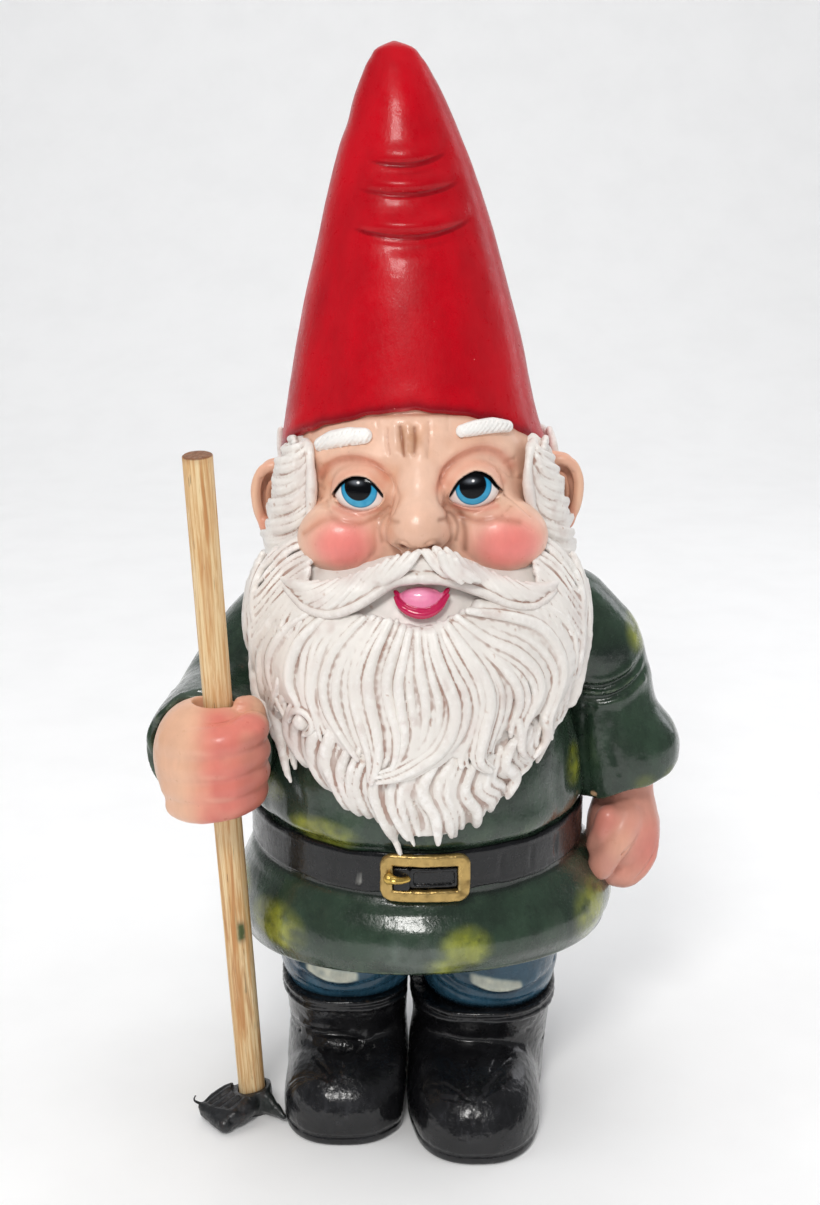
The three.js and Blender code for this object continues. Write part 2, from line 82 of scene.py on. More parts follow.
class Field:
    """A block of space sampled every h mm; d is the distance to the surface, negative inside."""

    def __init__(self, lo, hi, h, fill=9.0):
        self.lo, self.h = np.array(lo, float), h
        self.n = np.ceil((np.array(hi, float) - self.lo) / h).astype(int) + 1
        self.d = np.full(tuple(self.n), fill, F32)

    def view(self, lo, hi):
        a = np.clip(np.floor((np.array(lo) - self.lo) / self.h).astype(int), 0, self.n - 1)
        b = np.clip(np.ceil((np.array(hi) - self.lo) / self.h).astype(int) + 1, 1, self.n)
        if (b <= a).any():
            return None
        g = [(self.lo[i] + self.h * np.arange(a[i], b[i])).astype(F32) for i in range(3)]
        return tuple(slice(i, j) for i, j in zip(a, b)), g[0][:, None, None], g[1][None, :, None], g[2][None, None, :]

    def all(self):
        return self.view(self.lo, self.lo + self.h * self.n)

    # each edit works on the box that the shape and its blend reach
    def edit(self, lo, hi, make, how, k):
        v = self.view(np.array(lo) - k - 2 * self.h, np.array(hi) + k + 2 * self.h)
        if v is None:
            return
        sl, x, y, z = v
        dist = make(x, y, z)
        old = self.d[sl]
        if how == "add":
            self.d[sl] = smin(old, dist, k)
        elif how == "cut":
            self.d[sl] = smax(old, -dist, k)
        elif how == "keep":
            self.d[sl] = smax(old, dist, k)
        else:  # "push": dist is added, so a positive bump sinks the surface
            self.d[sl] = old + dist

    def ball(self, c, r, how="add", k=3.0, turn=(0, 0, 0), amount=1.0):
        c, r = np.array(c, float), np.array(r, float) * np.ones(3)
        m = rot(turn).T.astype(F32)
        reach = float(r.max()) if any(turn) else r

        def make(x, y, z):
            dx, dy, dz = x - F32(c[0]), y - F32(c[1]), z - F32(c[2])
            if any(turn):
                px = m[0, 0] * dx + m[0, 1] * dy + m[0, 2] * dz
                py = m[1, 0] * dx + m[1, 1] * dy + m[1, 2] * dz
                pz = m[2, 0] * dx + m[2, 1] * dy + m[2, 2] * dz
            else:
                px, py, pz = dx, dy, dz
            a = np.sqrt((px / r[0]) ** 2 + (py / r[1]) ** 2 + (pz / r[2]) ** 2)
            if how == "push":
                return F32(amount) * np.exp(-F32(2.2) * a * a)
            b = np.sqrt((px / r[0] ** 2) ** 2 + (py / r[1] ** 2) ** 2 + (pz / r[2] ** 2) ** 2)
            return (a * (a - 1) / np.maximum(b, 1e-6)).astype(F32)

        grow = 1.5 if how == "push" else 1.0
        self.edit(c - reach * grow, c + reach * grow, make, how, k)

    def line(self, pts, r, how="add", k=1.0, amount=1.0, flat=None):
        """A round line through pts [n,3] with radius r (number or one per point). With "push", a
        groove (amount > 0) or ridge (amount < 0) of half width r along the line."""
        pts = np.asarray(pts, float)
        r = np.ones(len(pts)) * np.asarray(r, float)
        pad = 2.2 if how == "push" else 1.0
        pushes = []
        whole = how != "push" and k <= 2.0  # thin lines join as one, so their joints don't swell
        for i in range(len(pts) - 1):
            a, b, ra, rb = pts[i], pts[i + 1], r[i], r[i + 1]
            rm = max(ra, rb) * pad
            lo, hi = np.minimum(a, b) - rm, np.maximum(a, b) + rm
            v = self.view(lo - k - 2 * self.h, hi + k + 2 * self.h)
            if v is None:
                continue
            sl, x, y, z = v
            ab = (b - a).astype(F32)
            l2 = max(float(ab @ ab), 1e-9)
            dx, dy, dz = x - F32(a[0]), y - F32(a[1]), z - F32(a[2])
            t = np.clip((dx * ab[0] + dy * ab[1] + dz * ab[2]) / F32(l2), 0, 1)
            dist = np.sqrt((dx - t * ab[0]) ** 2 + (dy - t * ab[1]) ** 2 + (dz - t * ab[2]) ** 2)
            rr = F32(ra) + F32(rb - ra) * t
            if how == "push":
                pushes.append((sl, F32(amount) * np.exp(-((dist / rr) ** 2))))
            elif whole:
                pushes.append((sl, dist - rr))
            elif how == "add":
                self.d[sl] = smin(self.d[sl], dist - rr, k)
            else:
                self.d[sl] = smax(self.d[sl], rr - dist, k)
        if pushes:  # where segments meet, the deeper one counts, not their sum
            lo = np.min([[s.start for s in q[0]] for q in pushes], 0)
            hi = np.max([[s.stop for s in q[0]] for q in pushes], 0)
            if whole:
                best = np.full(tuple(hi - lo), 1e3, F32)
                for sl, g in pushes:
                    q = tuple(slice(s.start - o, s.stop - o) for s, o in zip(sl, lo))
                    best[q] = np.minimum(best[q], g)
                box = tuple(slice(a, b) for a, b in zip(lo, hi))
                self.d[box] = smin(self.d[box], best, k) if how == "add" else smax(self.d[box], -best, k)
                return
            best = np.zeros(tuple(hi - lo), F32)
            for sl, g in pushes:
                q = tuple(slice(s.start - o, s.stop - o) for s, o in zip(sl, lo))
                best[q] = np.where(np.abs(g) > np.abs(best[q]), g, best[q])
            self.d[tuple(slice(a, b) for a, b in zip(lo, hi))] += best

    def block(self, c, r, p=2.6, how="add", k=3.0, turn=(0, 0, 0)):
        """A ball with squarer shoulders; p = 2 is an ellipsoid."""
        c, r = np.array(c, float), np.array(r, float) * np.ones(3)
        m = rot(turn).T.astype(F32)
        reach = float(r.max()) if any(turn) else r

        def make(x, y, z):
            dx, dy, dz = x - F32(c[0]), y - F32(c[1]), z - F32(c[2])
            px = m[0, 0] * dx + m[0, 1] * dy + m[0, 2] * dz
            py = m[1, 0] * dx + m[1, 1] * dy + m[1, 2] * dz
            pz = m[2, 0] * dx + m[2, 1] * dy + m[2, 2] * dz
            u = [np.abs(px) / F32(r[0]), np.abs(py) / F32(r[1]), np.abs(pz) / F32(r[2])]
            a = np.maximum((u[0] ** p + u[1] ** p + u[2] ** p) ** F32(1 / p), 1e-4)
            g = np.sqrt(sum((ui ** (p - 1) / F32(ri)) ** 2 for ui, ri in zip(u, r))) * a ** F32(1 - p)
            return ((a - 1) / np.maximum(g, 1e-3)).astype(F32)

        self.edit(c - reach, c + reach, make, how, k)

    def loft(self, rings, how="add", k=0.0, grow=0.0, p=2.0):
        """A body of stacked ellipse rings [z, cx, cy, rx, front, back]."""
        t = np.array(rings, float)
        rmax = t[:, 3:6].max() + 3 + grow
        lo = [t[:, 1].min() - rmax, t[:, 2].min() - rmax, t[0, 0] - 1]
        hi = [t[:, 1].max() + rmax, t[:, 2].max() + rmax, t[-1, 0] + 1]

        def make(x, y, z):
            zz = z.ravel()
            cx, cy, rx, fr, bk = (smooth_interp(zz, t[:, 0], t[:, i])[None, None, :].astype(F32) for i in range(1, 6))
            rx, fr, bk = rx + F32(grow), fr + F32(grow), bk + F32(grow)
            dx, dy = x - cx, y - cy
            ry = np.where(dy < 0, fr, bk)
            if p == 2.0:
                a = np.sqrt((dx / rx) ** 2 + (dy / ry) ** 2)
                b = np.sqrt((dx / rx**2) ** 2 + (dy / ry**2) ** 2)
                side = a * (a - 1) / np.maximum(b, 1e-6)
            else:
                ux, uy = np.abs(dx / rx), np.abs(dy / ry)
                a = np.maximum((ux**p + uy**p) ** F32(1 / p), 1e-4)
                g = np.sqrt((ux ** (p - 1) / rx) ** 2 + (uy ** (p - 1) / ry) ** 2) * a ** F32(1 - p)
                side = (a - 1) / np.maximum(g, 1e-3)
            side = np.where(a < 0.3, -np.minimum(rx, ry) * (1 - a), side)
            cap = np.maximum(t[0, 0] - grow - z, z - t[-1, 0] - grow)
            return smax(side, cap.astype(F32) + side * 0, 2.0)

        self.edit(lo, hi, make, how, k)

    def mesh(self, iso=0.0):
        band = 3.0 * self.h
        g = vdb.FloatGrid()
        g.background = float(band)
        g.copyFromArray(np.clip(self.d, -band, band).astype(F32))
        pts, quads = g.convertToQuads(isovalue=iso)
        v = pts.astype(np.float64) * self.h + self.lo
        q = quads.astype(np.int64)
        a, b, c = v[q[:, 0]], v[q[:, 1]], v[q[:, 2]]
        if np.einsum("ij,ij->i", a, np.cross(b, c)).sum() < 0:
            q = q[:, ::-1]
        return biggest(v, q)

    def sample(self, p):
        q = (np.asarray(p) - self.lo) / self.h
        i = np.clip(np.floor(q).astype(int), 0, self.n - 2)
        f = np.clip(q - i, 0, 1)
        out = 0
        for a in (0, 1):
            for b in (0, 1):
                for c in (0, 1):
                    w = (f[:, 0] if a else 1 - f[:, 0]) * (f[:, 1] if b else 1 - f[:, 1]) * (f[:, 2] if c else 1 - f[:, 2])
                    out = out + w * self.d[i[:, 0] + a, i[:, 1] + b, i[:, 2] + c]
        return out


def smooth_interp(x, xs, ys):
    """Monotone-ish cubic through the table (Catmull-Rom tangents), held at its ends."""
    x = np.clip(x, xs[0], xs[-1])
    m = np.gradient(ys, xs)
    i = np.clip(np.searchsorted(xs, x, side="right") - 1, 0, len(xs) - 2)
    w = xs[i + 1] - xs[i]
    t = (x - xs[i]) / w
    return (
        (2 * t**3 - 3 * t**2 + 1) * ys[i] + (t**3 - 2 * t**2 + t) * w * m[i]
        + (-2 * t**3 + 3 * t**2) * ys[i + 1] + (t**3 - t**2) * w * m[i + 1]
    )


def biggest(v, q):
    """Keeps the largest connected body, so that no stray crumbs are left."""
    n = len(v)
    label = np.arange(n)
    e = np.concatenate([q[:, [0, 1]], q[:, [1, 2]], q[:, [2, 3]], q[:, [3, 0]]])
    while True:
        m = np.minimum(label[e[:, 0]], label[e[:, 1]])
        new = label.copy()
        np.minimum.at(new, e[:, 0], m)
        np.minimum.at(new, e[:, 1], m)
        new = new[new]
        if (new == label).all():
            break
        label = new
    ids, count = np.unique(label[q[:, 0]], return_counts=True)
    keep = label == ids[count.argmax()]
    q = q[keep[q[:, 0]]]
    index = np.cumsum(keep) - 1
    return v[keep], index[q]


# ---------------------------------------------------------------------------------------
# meshes
# ---------------------------------------------------------------------------------------
def vertex_normals(v, q):
    a = np.cross(v[q[:, 2]] - v[q[:, 0]], v[q[:, 3]] - v[q[:, 1]])
    n = np.stack([np.bincount(q.ravel(), np.repeat(a[:, k], 4), len(v)) for k in range(3)], 1)
    return n / np.maximum(np.linalg.norm(n, axis=1, keepdims=True), 1e-12)


def smoothed(v, q, rounds, amount=0.5):
    i, j = q.ravel(), np.roll(q, -1, 1).ravel()
    i, j = np.concatenate([i, j]), np.concatenate([j, i])
    c = np.maximum(np.bincount(i, minlength=len(v)), 1)[:, None]
    p = v.copy()
    for _ in range(rounds):
        s = np.stack([np.bincount(i, p[j, k], len(v)) for k in range(p.shape[1])], 1) / c
        p = p + amount * (s - p)
    return p


def cavity(v, q, rounds=8):
    """Positive in grooves, negative on ridges, in mm."""
    return ((smoothed(v, q, rounds) - v) * vertex_normals(v, q)).sum(1)


def make_object(name, v, faces, body, node, material, floats=None, tint=None):
    """faces is an array of quads, or a list of arrays of polygons."""
    v = (np.asarray(v) + OFF) / 1000
    if isinstance(faces, np.ndarray):
        faces = [faces]
    loops = np.concatenate([f.ravel() for f in faces]).astype(np.int32)
    sizes = np.concatenate([np.full(len(f), f.shape[1]) for f in faces])
    starts = np.concatenate([[0], np.cumsum(sizes)[:-1]]).astype(np.int32)
    me = bpy.data.meshes.new(name)
    me.vertices.add(len(v))
    me.vertices.foreach_set("co", v.astype(F32).ravel())
    me.loops.add(len(loops))
    me.loops.foreach_set("vertex_index", loops)
    me.polygons.add(len(starts))
    me.polygons.foreach_set("loop_start", starts)
    me.update(calc_edges=True)
    me.validate()
    me.polygons.foreach_set("use_smooth", np.ones(len(me.polygons), bool))
    for key, val in (floats or {}).items():
        at = me.attributes.new(key, "FLOAT", "POINT")
        at.data.foreach_set("value", np.asarray(val, F32))
    if tint is not None:
        at = me.attributes.new("tint", "FLOAT_COLOR", "POINT")
        rgba = np.ones((len(v), 4), F32)
        rgba[:, :3] = tint
        at.data.foreach_set("color", rgba.ravel())
    me.update()
    ob = bpy.data.objects.new(name, me)
    bpy.context.scene.collection.objects.link(ob)
    me.materials.append(material)
    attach(ob, body)
    if node:
        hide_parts(node)
    return ob


# smooth value noise, the same on every run
def _hash(i, j, k, seed):
    h = (i.astype(np.int64) * 374761393 + j.astype(np.int64) * 668265263 + k.astype(np.int64) * 2147483647 + seed * 1274126177) & 0xFFFFFFFF
    h = ((h ^ (h >> 13)) * 1274126177) & 0xFFFFFFFF
    return ((h ^ (h >> 16)) & 0xFFFF) / 32767.5 - 1


def noise(p, size, seed=0, octaves=2):
    """Noise from about -1 to 1 at points p [n,3], with features about size mm across."""
    out, amp, total = 0, 1.0, 0
    for o in range(octaves):
        q = np.asarray(p) / size * 2**o + 17.3 * seed
        i = np.floor(q).astype(np.int64)
        f = q - i
        f = f * f * (3 - 2 * f)
        acc = 0
        for a in (0, 1):
            for b in (0, 1):
                for c in (0, 1):
                    w = (f[:, 0] if a else 1 - f[:, 0]) * (f[:, 1] if b else 1 - f[:, 1]) * (f[:, 2] if c else 1 - f[:, 2])
                    acc = acc + w * _hash(i[:, 0] + a, i[:, 1] + b, i[:, 2] + c, seed + o)
        out, total = out + amp * acc, total + amp
        amp *= 0.5
    return out / total


def blob(p, c, r):
    """1 at c, falling smoothly to 0 at radius r (number or three)."""
    a = (((p - np.array(c)) / (np.array(r) * np.ones(3))) ** 2).sum(1)
    return np.clip(1 - a, 0, 1) ** 1.5


def ramp(x, a, b):
    t = np.clip((x - a) / (b - a), 0, 1)
    return t * t * (3 - 2 * t)


def mix(a, b, m):
    return a * (1 - m[:, None]) + np.asarray(b) * m[:, None]


def rgb(r, g, b):
    """sRGB 0-255 to linear."""
    c = np.array([r, g, b]) / 255
    return np.where(c <= 0.04045, c / 12.92, ((c + 0.055) / 1.055) ** 2.4)


def bezier(pts, n):
    """A smooth curve through the points (Catmull-Rom), n samples."""
    p = np.asarray(pts, float)
    p = np.vstack([2 * p[0] - p[1], p, 2 * p[-1] - p[-2]])
    t = np.linspace(0, len(p) - 3 - 1e-9, n)
    i = np.floor(t).astype(int)
    f = (t - i)[:, None]
    a, b, c, d = p[i], p[i + 1], p[i + 2], p[i + 3]
    return 0.5 * (2 * b + (c - a) * f + (2 * a - 5 * b + 4 * c - d) * f**2 + (3 * b - a - 3 * c + d) * f**3)


# ---------------------------------------------------------------------------------------
# materials: hand paint under varnish
# ---------------------------------------------------------------------------------------
class Nodes:
    def __init__(self, name):
        self.m = bpy.data.materials.new(name)
        self.m.use_nodes = True
        self.t = self.m.node_tree
        self.t.nodes.clear()
        self.out = self.t.nodes.new("ShaderNodeOutputMaterial")
        self.b = self.t.nodes.new("ShaderNodeBsdfPrincipled")
        self.link(self.b.outputs[0], self.out.inputs[0])
        self.co = self.new("ShaderNodeTexCoord").outputs["Object"]

    def new(self, kind, **props):
        n = self.t.nodes.new(kind)
        for k, v in props.items():
            setattr(n, k, v)
        return n

    def link(self, a, b):
        self.t.links.new(a, b)

    def put(self, socket, value):
        if hasattr(value, "is_output"):
            self.link(value, socket)
        else:
            socket.default_value = value

    def attr(self, name, colour=False):
        n = self.new("ShaderNodeAttribute", attribute_name=name)
        return n.outputs["Color" if colour else "Fac"]

    def noise(self, mm, detail=3.0, rough=0.55, stretch=None, distort=0.0, co=None):
        n = self.new("ShaderNodeTexNoise")
        n.inputs["Scale"].default_value = 1000.0 / mm
        n.inputs["Detail"].default_value = detail
        n.inputs["Roughness"].default_value = rough
        n.inputs["Distortion"].default_value = distort
        c = co or self.co
        if stretch:
            mp = self.new("ShaderNodeMapping")
            mp.inputs["Scale"].default_value = stretch
            self.link(c, mp.inputs[0])
            c = mp.outputs[0]
        self.link(c, n.inputs["Vector"])
        return n.outputs["Fac"]

    def map(self, x, a, b, c=0.0, d=1.0):
        n = self.new("ShaderNodeMapRange")
        n.interpolation_type = "SMOOTHSTEP"
        self.put(n.inputs[0], x)
        for i, v in enumerate((a, b, c, d)):
            n.inputs[i + 1].default_value = v
        return n.outputs[0]

    def math(self, op, a, b=0.0, clamp=False):
        n = self.new("ShaderNodeMath", operation=op, use_clamp=clamp)
        self.put(n.inputs[0], a)
        self.put(n.inputs[1], b)
        return n.outputs[0]

    def mixc(self, a, b, fac, blend="MIX"):
        n = self.new("ShaderNodeMix", data_type="RGBA", blend_type=blend)
        self.put(n.inputs[0], fac)
        for s, v in ((n.inputs[6], a), (n.inputs[7], b)):
            if hasattr(v, "is_output"):
                self.link(v, s)
            else:
                s.default_value = (*v, 1.0)
        return n.outputs[2]

    def bump(self, height, mm, strength=1.0, normal=None):
        n = self.new("ShaderNodeBump")
        n.inputs["Strength"].default_value = strength
        n.inputs["Distance"].default_value = mm / 1000.0
        self.link(height, n.inputs["Height"])
        if normal is not None:
            self.link(normal, n.inputs["Normal"])
        return n.outputs[0]


def paint(name, rough=0.3, coat=0.0, coat_rough=0.1, vary=0.18, vary_mm=9.0, wash=None, wash_at=(0.02, 0.25),
          wash_max=0.8, rub=None, rub_at=(0.1, 0.4), rub_max=0.5, speck=0.0, speck_colour=(0.8, 0.78, 0.75), brush=0.04,
          pit=0.03, rough_vary=0.1, stretch=(1, 1, 0.45), metal=0.0, ior=1.5, grime=None):
    """Brushed paint: the piece's own colours (tint), uneven paint, a wash in the grooves (cav > 0), rubbed ridges, specks."""
    n = Nodes(name)
    col = n.attr("tint", True)
    cav = n.attr("cav")
    big = n.noise(vary_mm, 4.0, 0.6, stretch)
    fine = n.noise(1.1, 3.0, 0.6)
    shade = n.map(big, 0.3, 0.7, 1 - vary, 1 + vary * 0.6)
    comb = n.new("ShaderNodeCombineColor")
    for i in range(3):
        n.link(shade, comb.inputs[i])
    col = n.mixc(col, comb.outputs[0], 1.0, "MULTIPLY")
    if wash is not None:
        w = n.map(cav, wash_at[0], wash_at[1], 0.0, wash_max)
        patch = n.map(n.noise(16.0, 3.0), 0.3, 0.68, 0.35, 1.0)
        col = n.mixc(col, wash, n.math("MULTIPLY", w, patch))
    if rub is not None:
        w = n.map(n.math("MULTIPLY", cav, -1.0), rub_at[0], rub_at[1], 0.0, rub_max)
        patch = n.map(n.noise(5.0, 4.0, 0.7), 0.42, 0.62)
        col = n.mixc(col, rub, n.math("MULTIPLY", w, patch))
    if grime is not None:
        w = n.map(n.noise(7.0, 5.0, 0.7), 0.56, 0.72, 0.0, grime[1])
        col = n.mixc(col, grime[0], w)
    if speck:
        v = n.new("ShaderNodeTexVoronoi", feature="F1")
        v.inputs["Scale"].default_value = 1000 / 5.0
        n.link(n.co, v.inputs["Vector"])
        dot = n.map(v.outputs["Distance"], 0.035, 0.075, 1.0, 0.0)
        keep = n.map(n.noise(4.0, 1.0), 0.6, 0.66)
        col = n.mixc(col, speck_colour, n.math("MULTIPLY", n.math("MULTIPLY", dot, keep), speck))
    n.link(col, n.b.inputs["Base Color"])
    n.link(n.map(n.noise(5.0, 4.0, 0.65), 0.25, 0.75, max(rough - rough_vary, 0.03), rough + rough_vary), n.b.inputs["Roughness"])
    n.b.inputs["Metallic"].default_value = metal
    n.b.inputs["IOR"].default_value = ior
    if coat:
        n.b.inputs["Coat Weight"].default_value = coat
        n.b.inputs["Coat Roughness"].default_value = coat_rough
    h = n.math("ADD", n.math("MULTIPLY", n.noise(2.4, 4.0, 0.6, stretch), 0.7), n.math("MULTIPLY", fine, 0.3))
    nor = n.bump(h, brush * 4)
    nor = n.bump(n.noise(0.5, 2.0), pit, 0.6, nor)
    n.link(nor, n.b.inputs["Normal"])
    if coat:
        n.link(n.bump(n.noise(3.5, 3.0, 0.55), brush * 2.5), n.b.inputs["Coat Normal"])
    return n.m


RED = rgb(184, 2, 22)
SKIN = rgb(231, 189, 186)
WHITE = rgb(240, 236, 230)
GREEN = rgb(42, 60, 46)
OLIVE = rgb(136, 142, 46)
BLACK = rgb(13, 14, 16)
BLUE = rgb(42, 77, 96)
CREAM = rgb(214, 214, 196)

M = {
    "hat": paint("varnished_red", rough=0.34, coat=0.14, coat_rough=0.12, ior=1.28, vary=0.16, vary_mm=26, wash=tuple(rgb(110, 0, 12)), wash_at=(0.02, 0.3), wash_max=0.7, speck=0.55, speck_colour=tuple(rgb(235, 150, 140)), brush=0.05),
    "skin": paint("varnished_flesh", rough=0.36, coat=0.16, coat_rough=0.16, ior=1.42, vary=0.07, vary_mm=10, wash=tuple(rgb(150, 84, 58)), wash_at=(0.03, 0.32), wash_max=0.75, brush=0.03, speck=0.3, speck_colour=tuple(rgb(150, 100, 80))),
    "hair": paint("washed_white", rough=0.42, coat=0.12, coat_rough=0.3, vary=0.05, vary_mm=14, wash=tuple(rgb(150, 108, 90)), wash_at=(0.01, 0.16), wash_max=0.85, rub=tuple(rgb(252, 250, 247)), rub_at=(0.0, 0.2), rub_max=0.6, brush=0.04),
    "tunic": paint("varnished_green", rough=0.25, coat=0.7, ior=1.38, coat_rough=0.12, vary=0.35, vary_mm=14, wash=tuple(rgb(18, 24, 20)), wash_at=(0.03, 0.4), wash_max=0.7, rub=tuple(rgb(88, 104, 74)), rub_at=(0.08, 0.5), rub_max=0.5, brush=0.09, rough_vary=0.12, grime=(tuple(rgb(24, 36, 30)), 0.6)),
    "belt": paint("varnished_black", rough=0.26, coat=0.3, coat_rough=0.12, ior=1.36, vary=0.3, vary_mm=8, brush=0.08, rub=tuple(rgb(60, 60, 64)), rub_at=(0.05, 0.3), rub_max=0.2),
    "gold": paint("gold_paint", rough=0.34, vary=0.16, vary_mm=4, metal=0.85, wash=tuple(rgb(70, 50, 20)), wash_at=(0.03, 0.25), wash_max=0.85, rub=tuple(rgb(250, 226, 160)), rub_at=(0.02, 0.2), rub_max=0.7, brush=0.07),
    "trousers": paint("varnished_blue", rough=0.26, coat=0.3, ior=1.4, coat_rough=0.15, vary=0.25, vary_mm=8, wash=tuple(rgb(14, 26, 40)), wash_at=(0.03, 0.35), wash_max=0.8, brush=0.07),
    "boots": paint("gloss_black", rough=0.2, coat=0.45, coat_rough=0.08, ior=1.38, vary=0.3, vary_mm=6, rub=tuple(rgb(74, 76, 80)), rub_at=(0.05, 0.35), rub_max=0.3, brush=0.11, rough_vary=0.12, speck=0.25, speck_colour=tuple(rgb(150, 150, 150))),
    "tool": paint("rough_black", rough=0.38, coat=0.2, coat_rough=0.2, vary=0.3, vary_mm=4, rub=tuple(rgb(120, 122, 124)), rub_at=(0.08, 0.3), rub_max=0.5, brush=0.14, pit=0.08, grime=(tuple(rgb(86, 58, 50)), 0.35)),
    "lip": paint("gloss_lip", rough=0.16, coat=0.7, coat_rough=0.06, vary=0.06, vary_mm=4, wash=tuple(rgb(120, 8, 40)), wash_at=(0.02, 0.25), wash_max=0.6, brush=0.02),
    "eye": paint("gloss_eye", rough=0.1, vary=0.02, vary_mm=4, brush=0.0, pit=0.0, rough_vary=0.02, ior=1.3),
}


# ---------------------------------------------------------------------------------------
# shared shape tables (figure axes, mm), the same as the frame's solids
# ---------------------------------------------------------------------------------------
HAT = np.array([
    [262, 0, 4, 67, 63.5, 65], [290, -0.6, 4, 63.4, 60.5, 62], [312, -1.3, 4, 60.3, 57.5, 58.5], [334, -2.8, 4.5, 55.8, 53.5, 54], [361, -3.2, 5.5, 50.4, 48.5, 48.5],
    [387, -4.2, 6.5, 44.0, 43, 43], [413, -5.2, 7.5, 37.0, 36, 36], [439, -6.8, 8, 29.4, 29, 29], [458, -7.9, 8, 22.4, 22.4, 22.4],
    [473, -8.8, 8, 15.8, 16, 16], [481.5, -9.5, 8, 10.8, 10.8, 10.8], [486, -9.9, 8, 6.3, 6.3, 6.3], [488, -10.1, 8, 0.6, 0.6, 0.6]], float)
HEAD = np.array([
    [236, 0, 2, 40, 38, 43], [256, 0, 2, 53, 54, 53], [272, 0, 2, 56.5, 58, 56], [288, 0, 2, 57.5, 59, 57], [304, 0, 2, 57.2, 57.5, 57],
    [322, -1, 2.5, 56, 55.5, 55.5], [340, -2, 3.5, 50.5, 51.5, 51], [358, -3, 5, 38, 38, 38], [366, -3, 5, 24, 24, 24]], float)
BEARD = np.array([
    [157, 4, -70, 15, 17, 10], [172, 2, -60, 39, 29, 22], [190, 0, -49, 56, 41, 36], [212, 0, -38, 68, 52, 44],
    [236, 0, -30, 76.5, 56, 43], [256, 0, -25, 76, 53, 39], [274, 0, -20, 70, 46, 32], [286, 0, -18, 64, 36, 26]], float)
TUNIC = np.array([
    [79, 3.6, 0, 88, 84, 84], [89, 3.8, 0, 90.6, 87, 86], [98, 3.6, 0, 90.6, 87.2, 86.2], [110, 2.7, 0, 87.6, 84.6, 83.6],
    [121, 1.4, 0, 82.2, 79.6, 78.8], [128.5, 0.4, 0, 78.2, 76.4, 75.6], [148.5, 0.3, 0, 77, 76.6, 75], [154.5, 0.3, 0, 79.2, 79.4, 76.5],
    [168, 0.3, 0, 78, 79.6, 75.6], [190, 0.5, 0.5, 73.6, 75, 72], [212, 0.9, 1.5, 67, 65, 66], [230, 1.4, 3, 57, 52, 56], [242, 1.5, 4, 44, 40, 44]], float)


def ring_at(table, z):
    z = np.asarray(z, float)
    return [smooth_interp(z, table[:, 0], table[:, i]) for i in range(1, 6)]


def on_ring(table, angle, z, grow=0.0):
    """Point at an angle from the front (0 = -Y, positive towards +X) on a loft's surface."""
    cx, cy, rx, fr, bk = ring_at(table, z)
    s, c = np.sin(angle), np.cos(angle)
    ry = np.where(c > 0, fr, bk)
    return np.stack([cx + s * (rx + grow), cy - c * (ry + grow), np.broadcast_to(z, s.shape).astype(float)], -1)


def brim_z(y):
    return 312.8 - 0.47 * y - 0.12 * np.minimum(y, 0)


def hem_shift(x, y, z):
    fade = np.clip((120 - z) / 41, 0, 1)
    front = np.clip(-y / 84, 0, 1)
    return fade * (8 + 7.5 * front**2 + 0.03 * x)


def grid_quads(nu, nv, close_u=True):
    """Quads of nv rows of nu points; rows run along v."""
    i = np.arange(nu if close_u else nu - 1)
    j = np.arange(nv - 1)
    a, b = np.meshgrid(i, j)
    a, b = a.ravel(), b.ravel()
    a2 = (a + 1) % nu
    return np.stack([b * nu + a, b * nu + a2, (b + 1) * nu + a2, (b + 1) * nu + a], 1)


def outward(v, q):
    a, b, c = v[q[:, 0]], v[q[:, 1]], v[q[:, 2]]
    return q[:, ::-1] if np.einsum("ij,ij->i", a, np.cross(b, c)).sum() < 0 else q


def want(name):
    return ONLY is None or name in ONLY


# ---------------------------------------------------------------------------------------
# closed shells of revolution-like rows, for the hat and the tunic
# ---------------------------------------------------------------------------------------
def shell(rows):
    """rows: array [n_rows, n_around, 3] from the outer top, down, round the edge and up the inside.
    Closes both ends with a fan. Returns v, quads, caps."""
    nr, nu, _ = rows.shape
    v = rows.reshape(-1, 3)
    q = grid_quads(nu, nr)
    top, bottom = v[:nu].mean(0), v[-nu:].mean(0)
    v = np.vstack([v, top, bottom])
    i = np.arange(nu)
    j = (i + 1) % nu
    cap = np.concatenate([np.stack([j, i, np.full(nu, nr * nu)], 1), np.stack([(nr - 1) * nu + i, (nr - 1) * nu + j, np.full(nu, nr * nu + 1)], 1)])
    a, b, c = v[q[:, 0]], v[q[:, 1]], v[q[:, 2]]
    if np.einsum("ij,ij->i", a, np.cross(b, c)).sum() < 0:
        q, cap = q[:, ::-1], cap[:, ::-1]
    return v, q, cap


def row_normals(v, q):
    return vertex_normals(v, q)


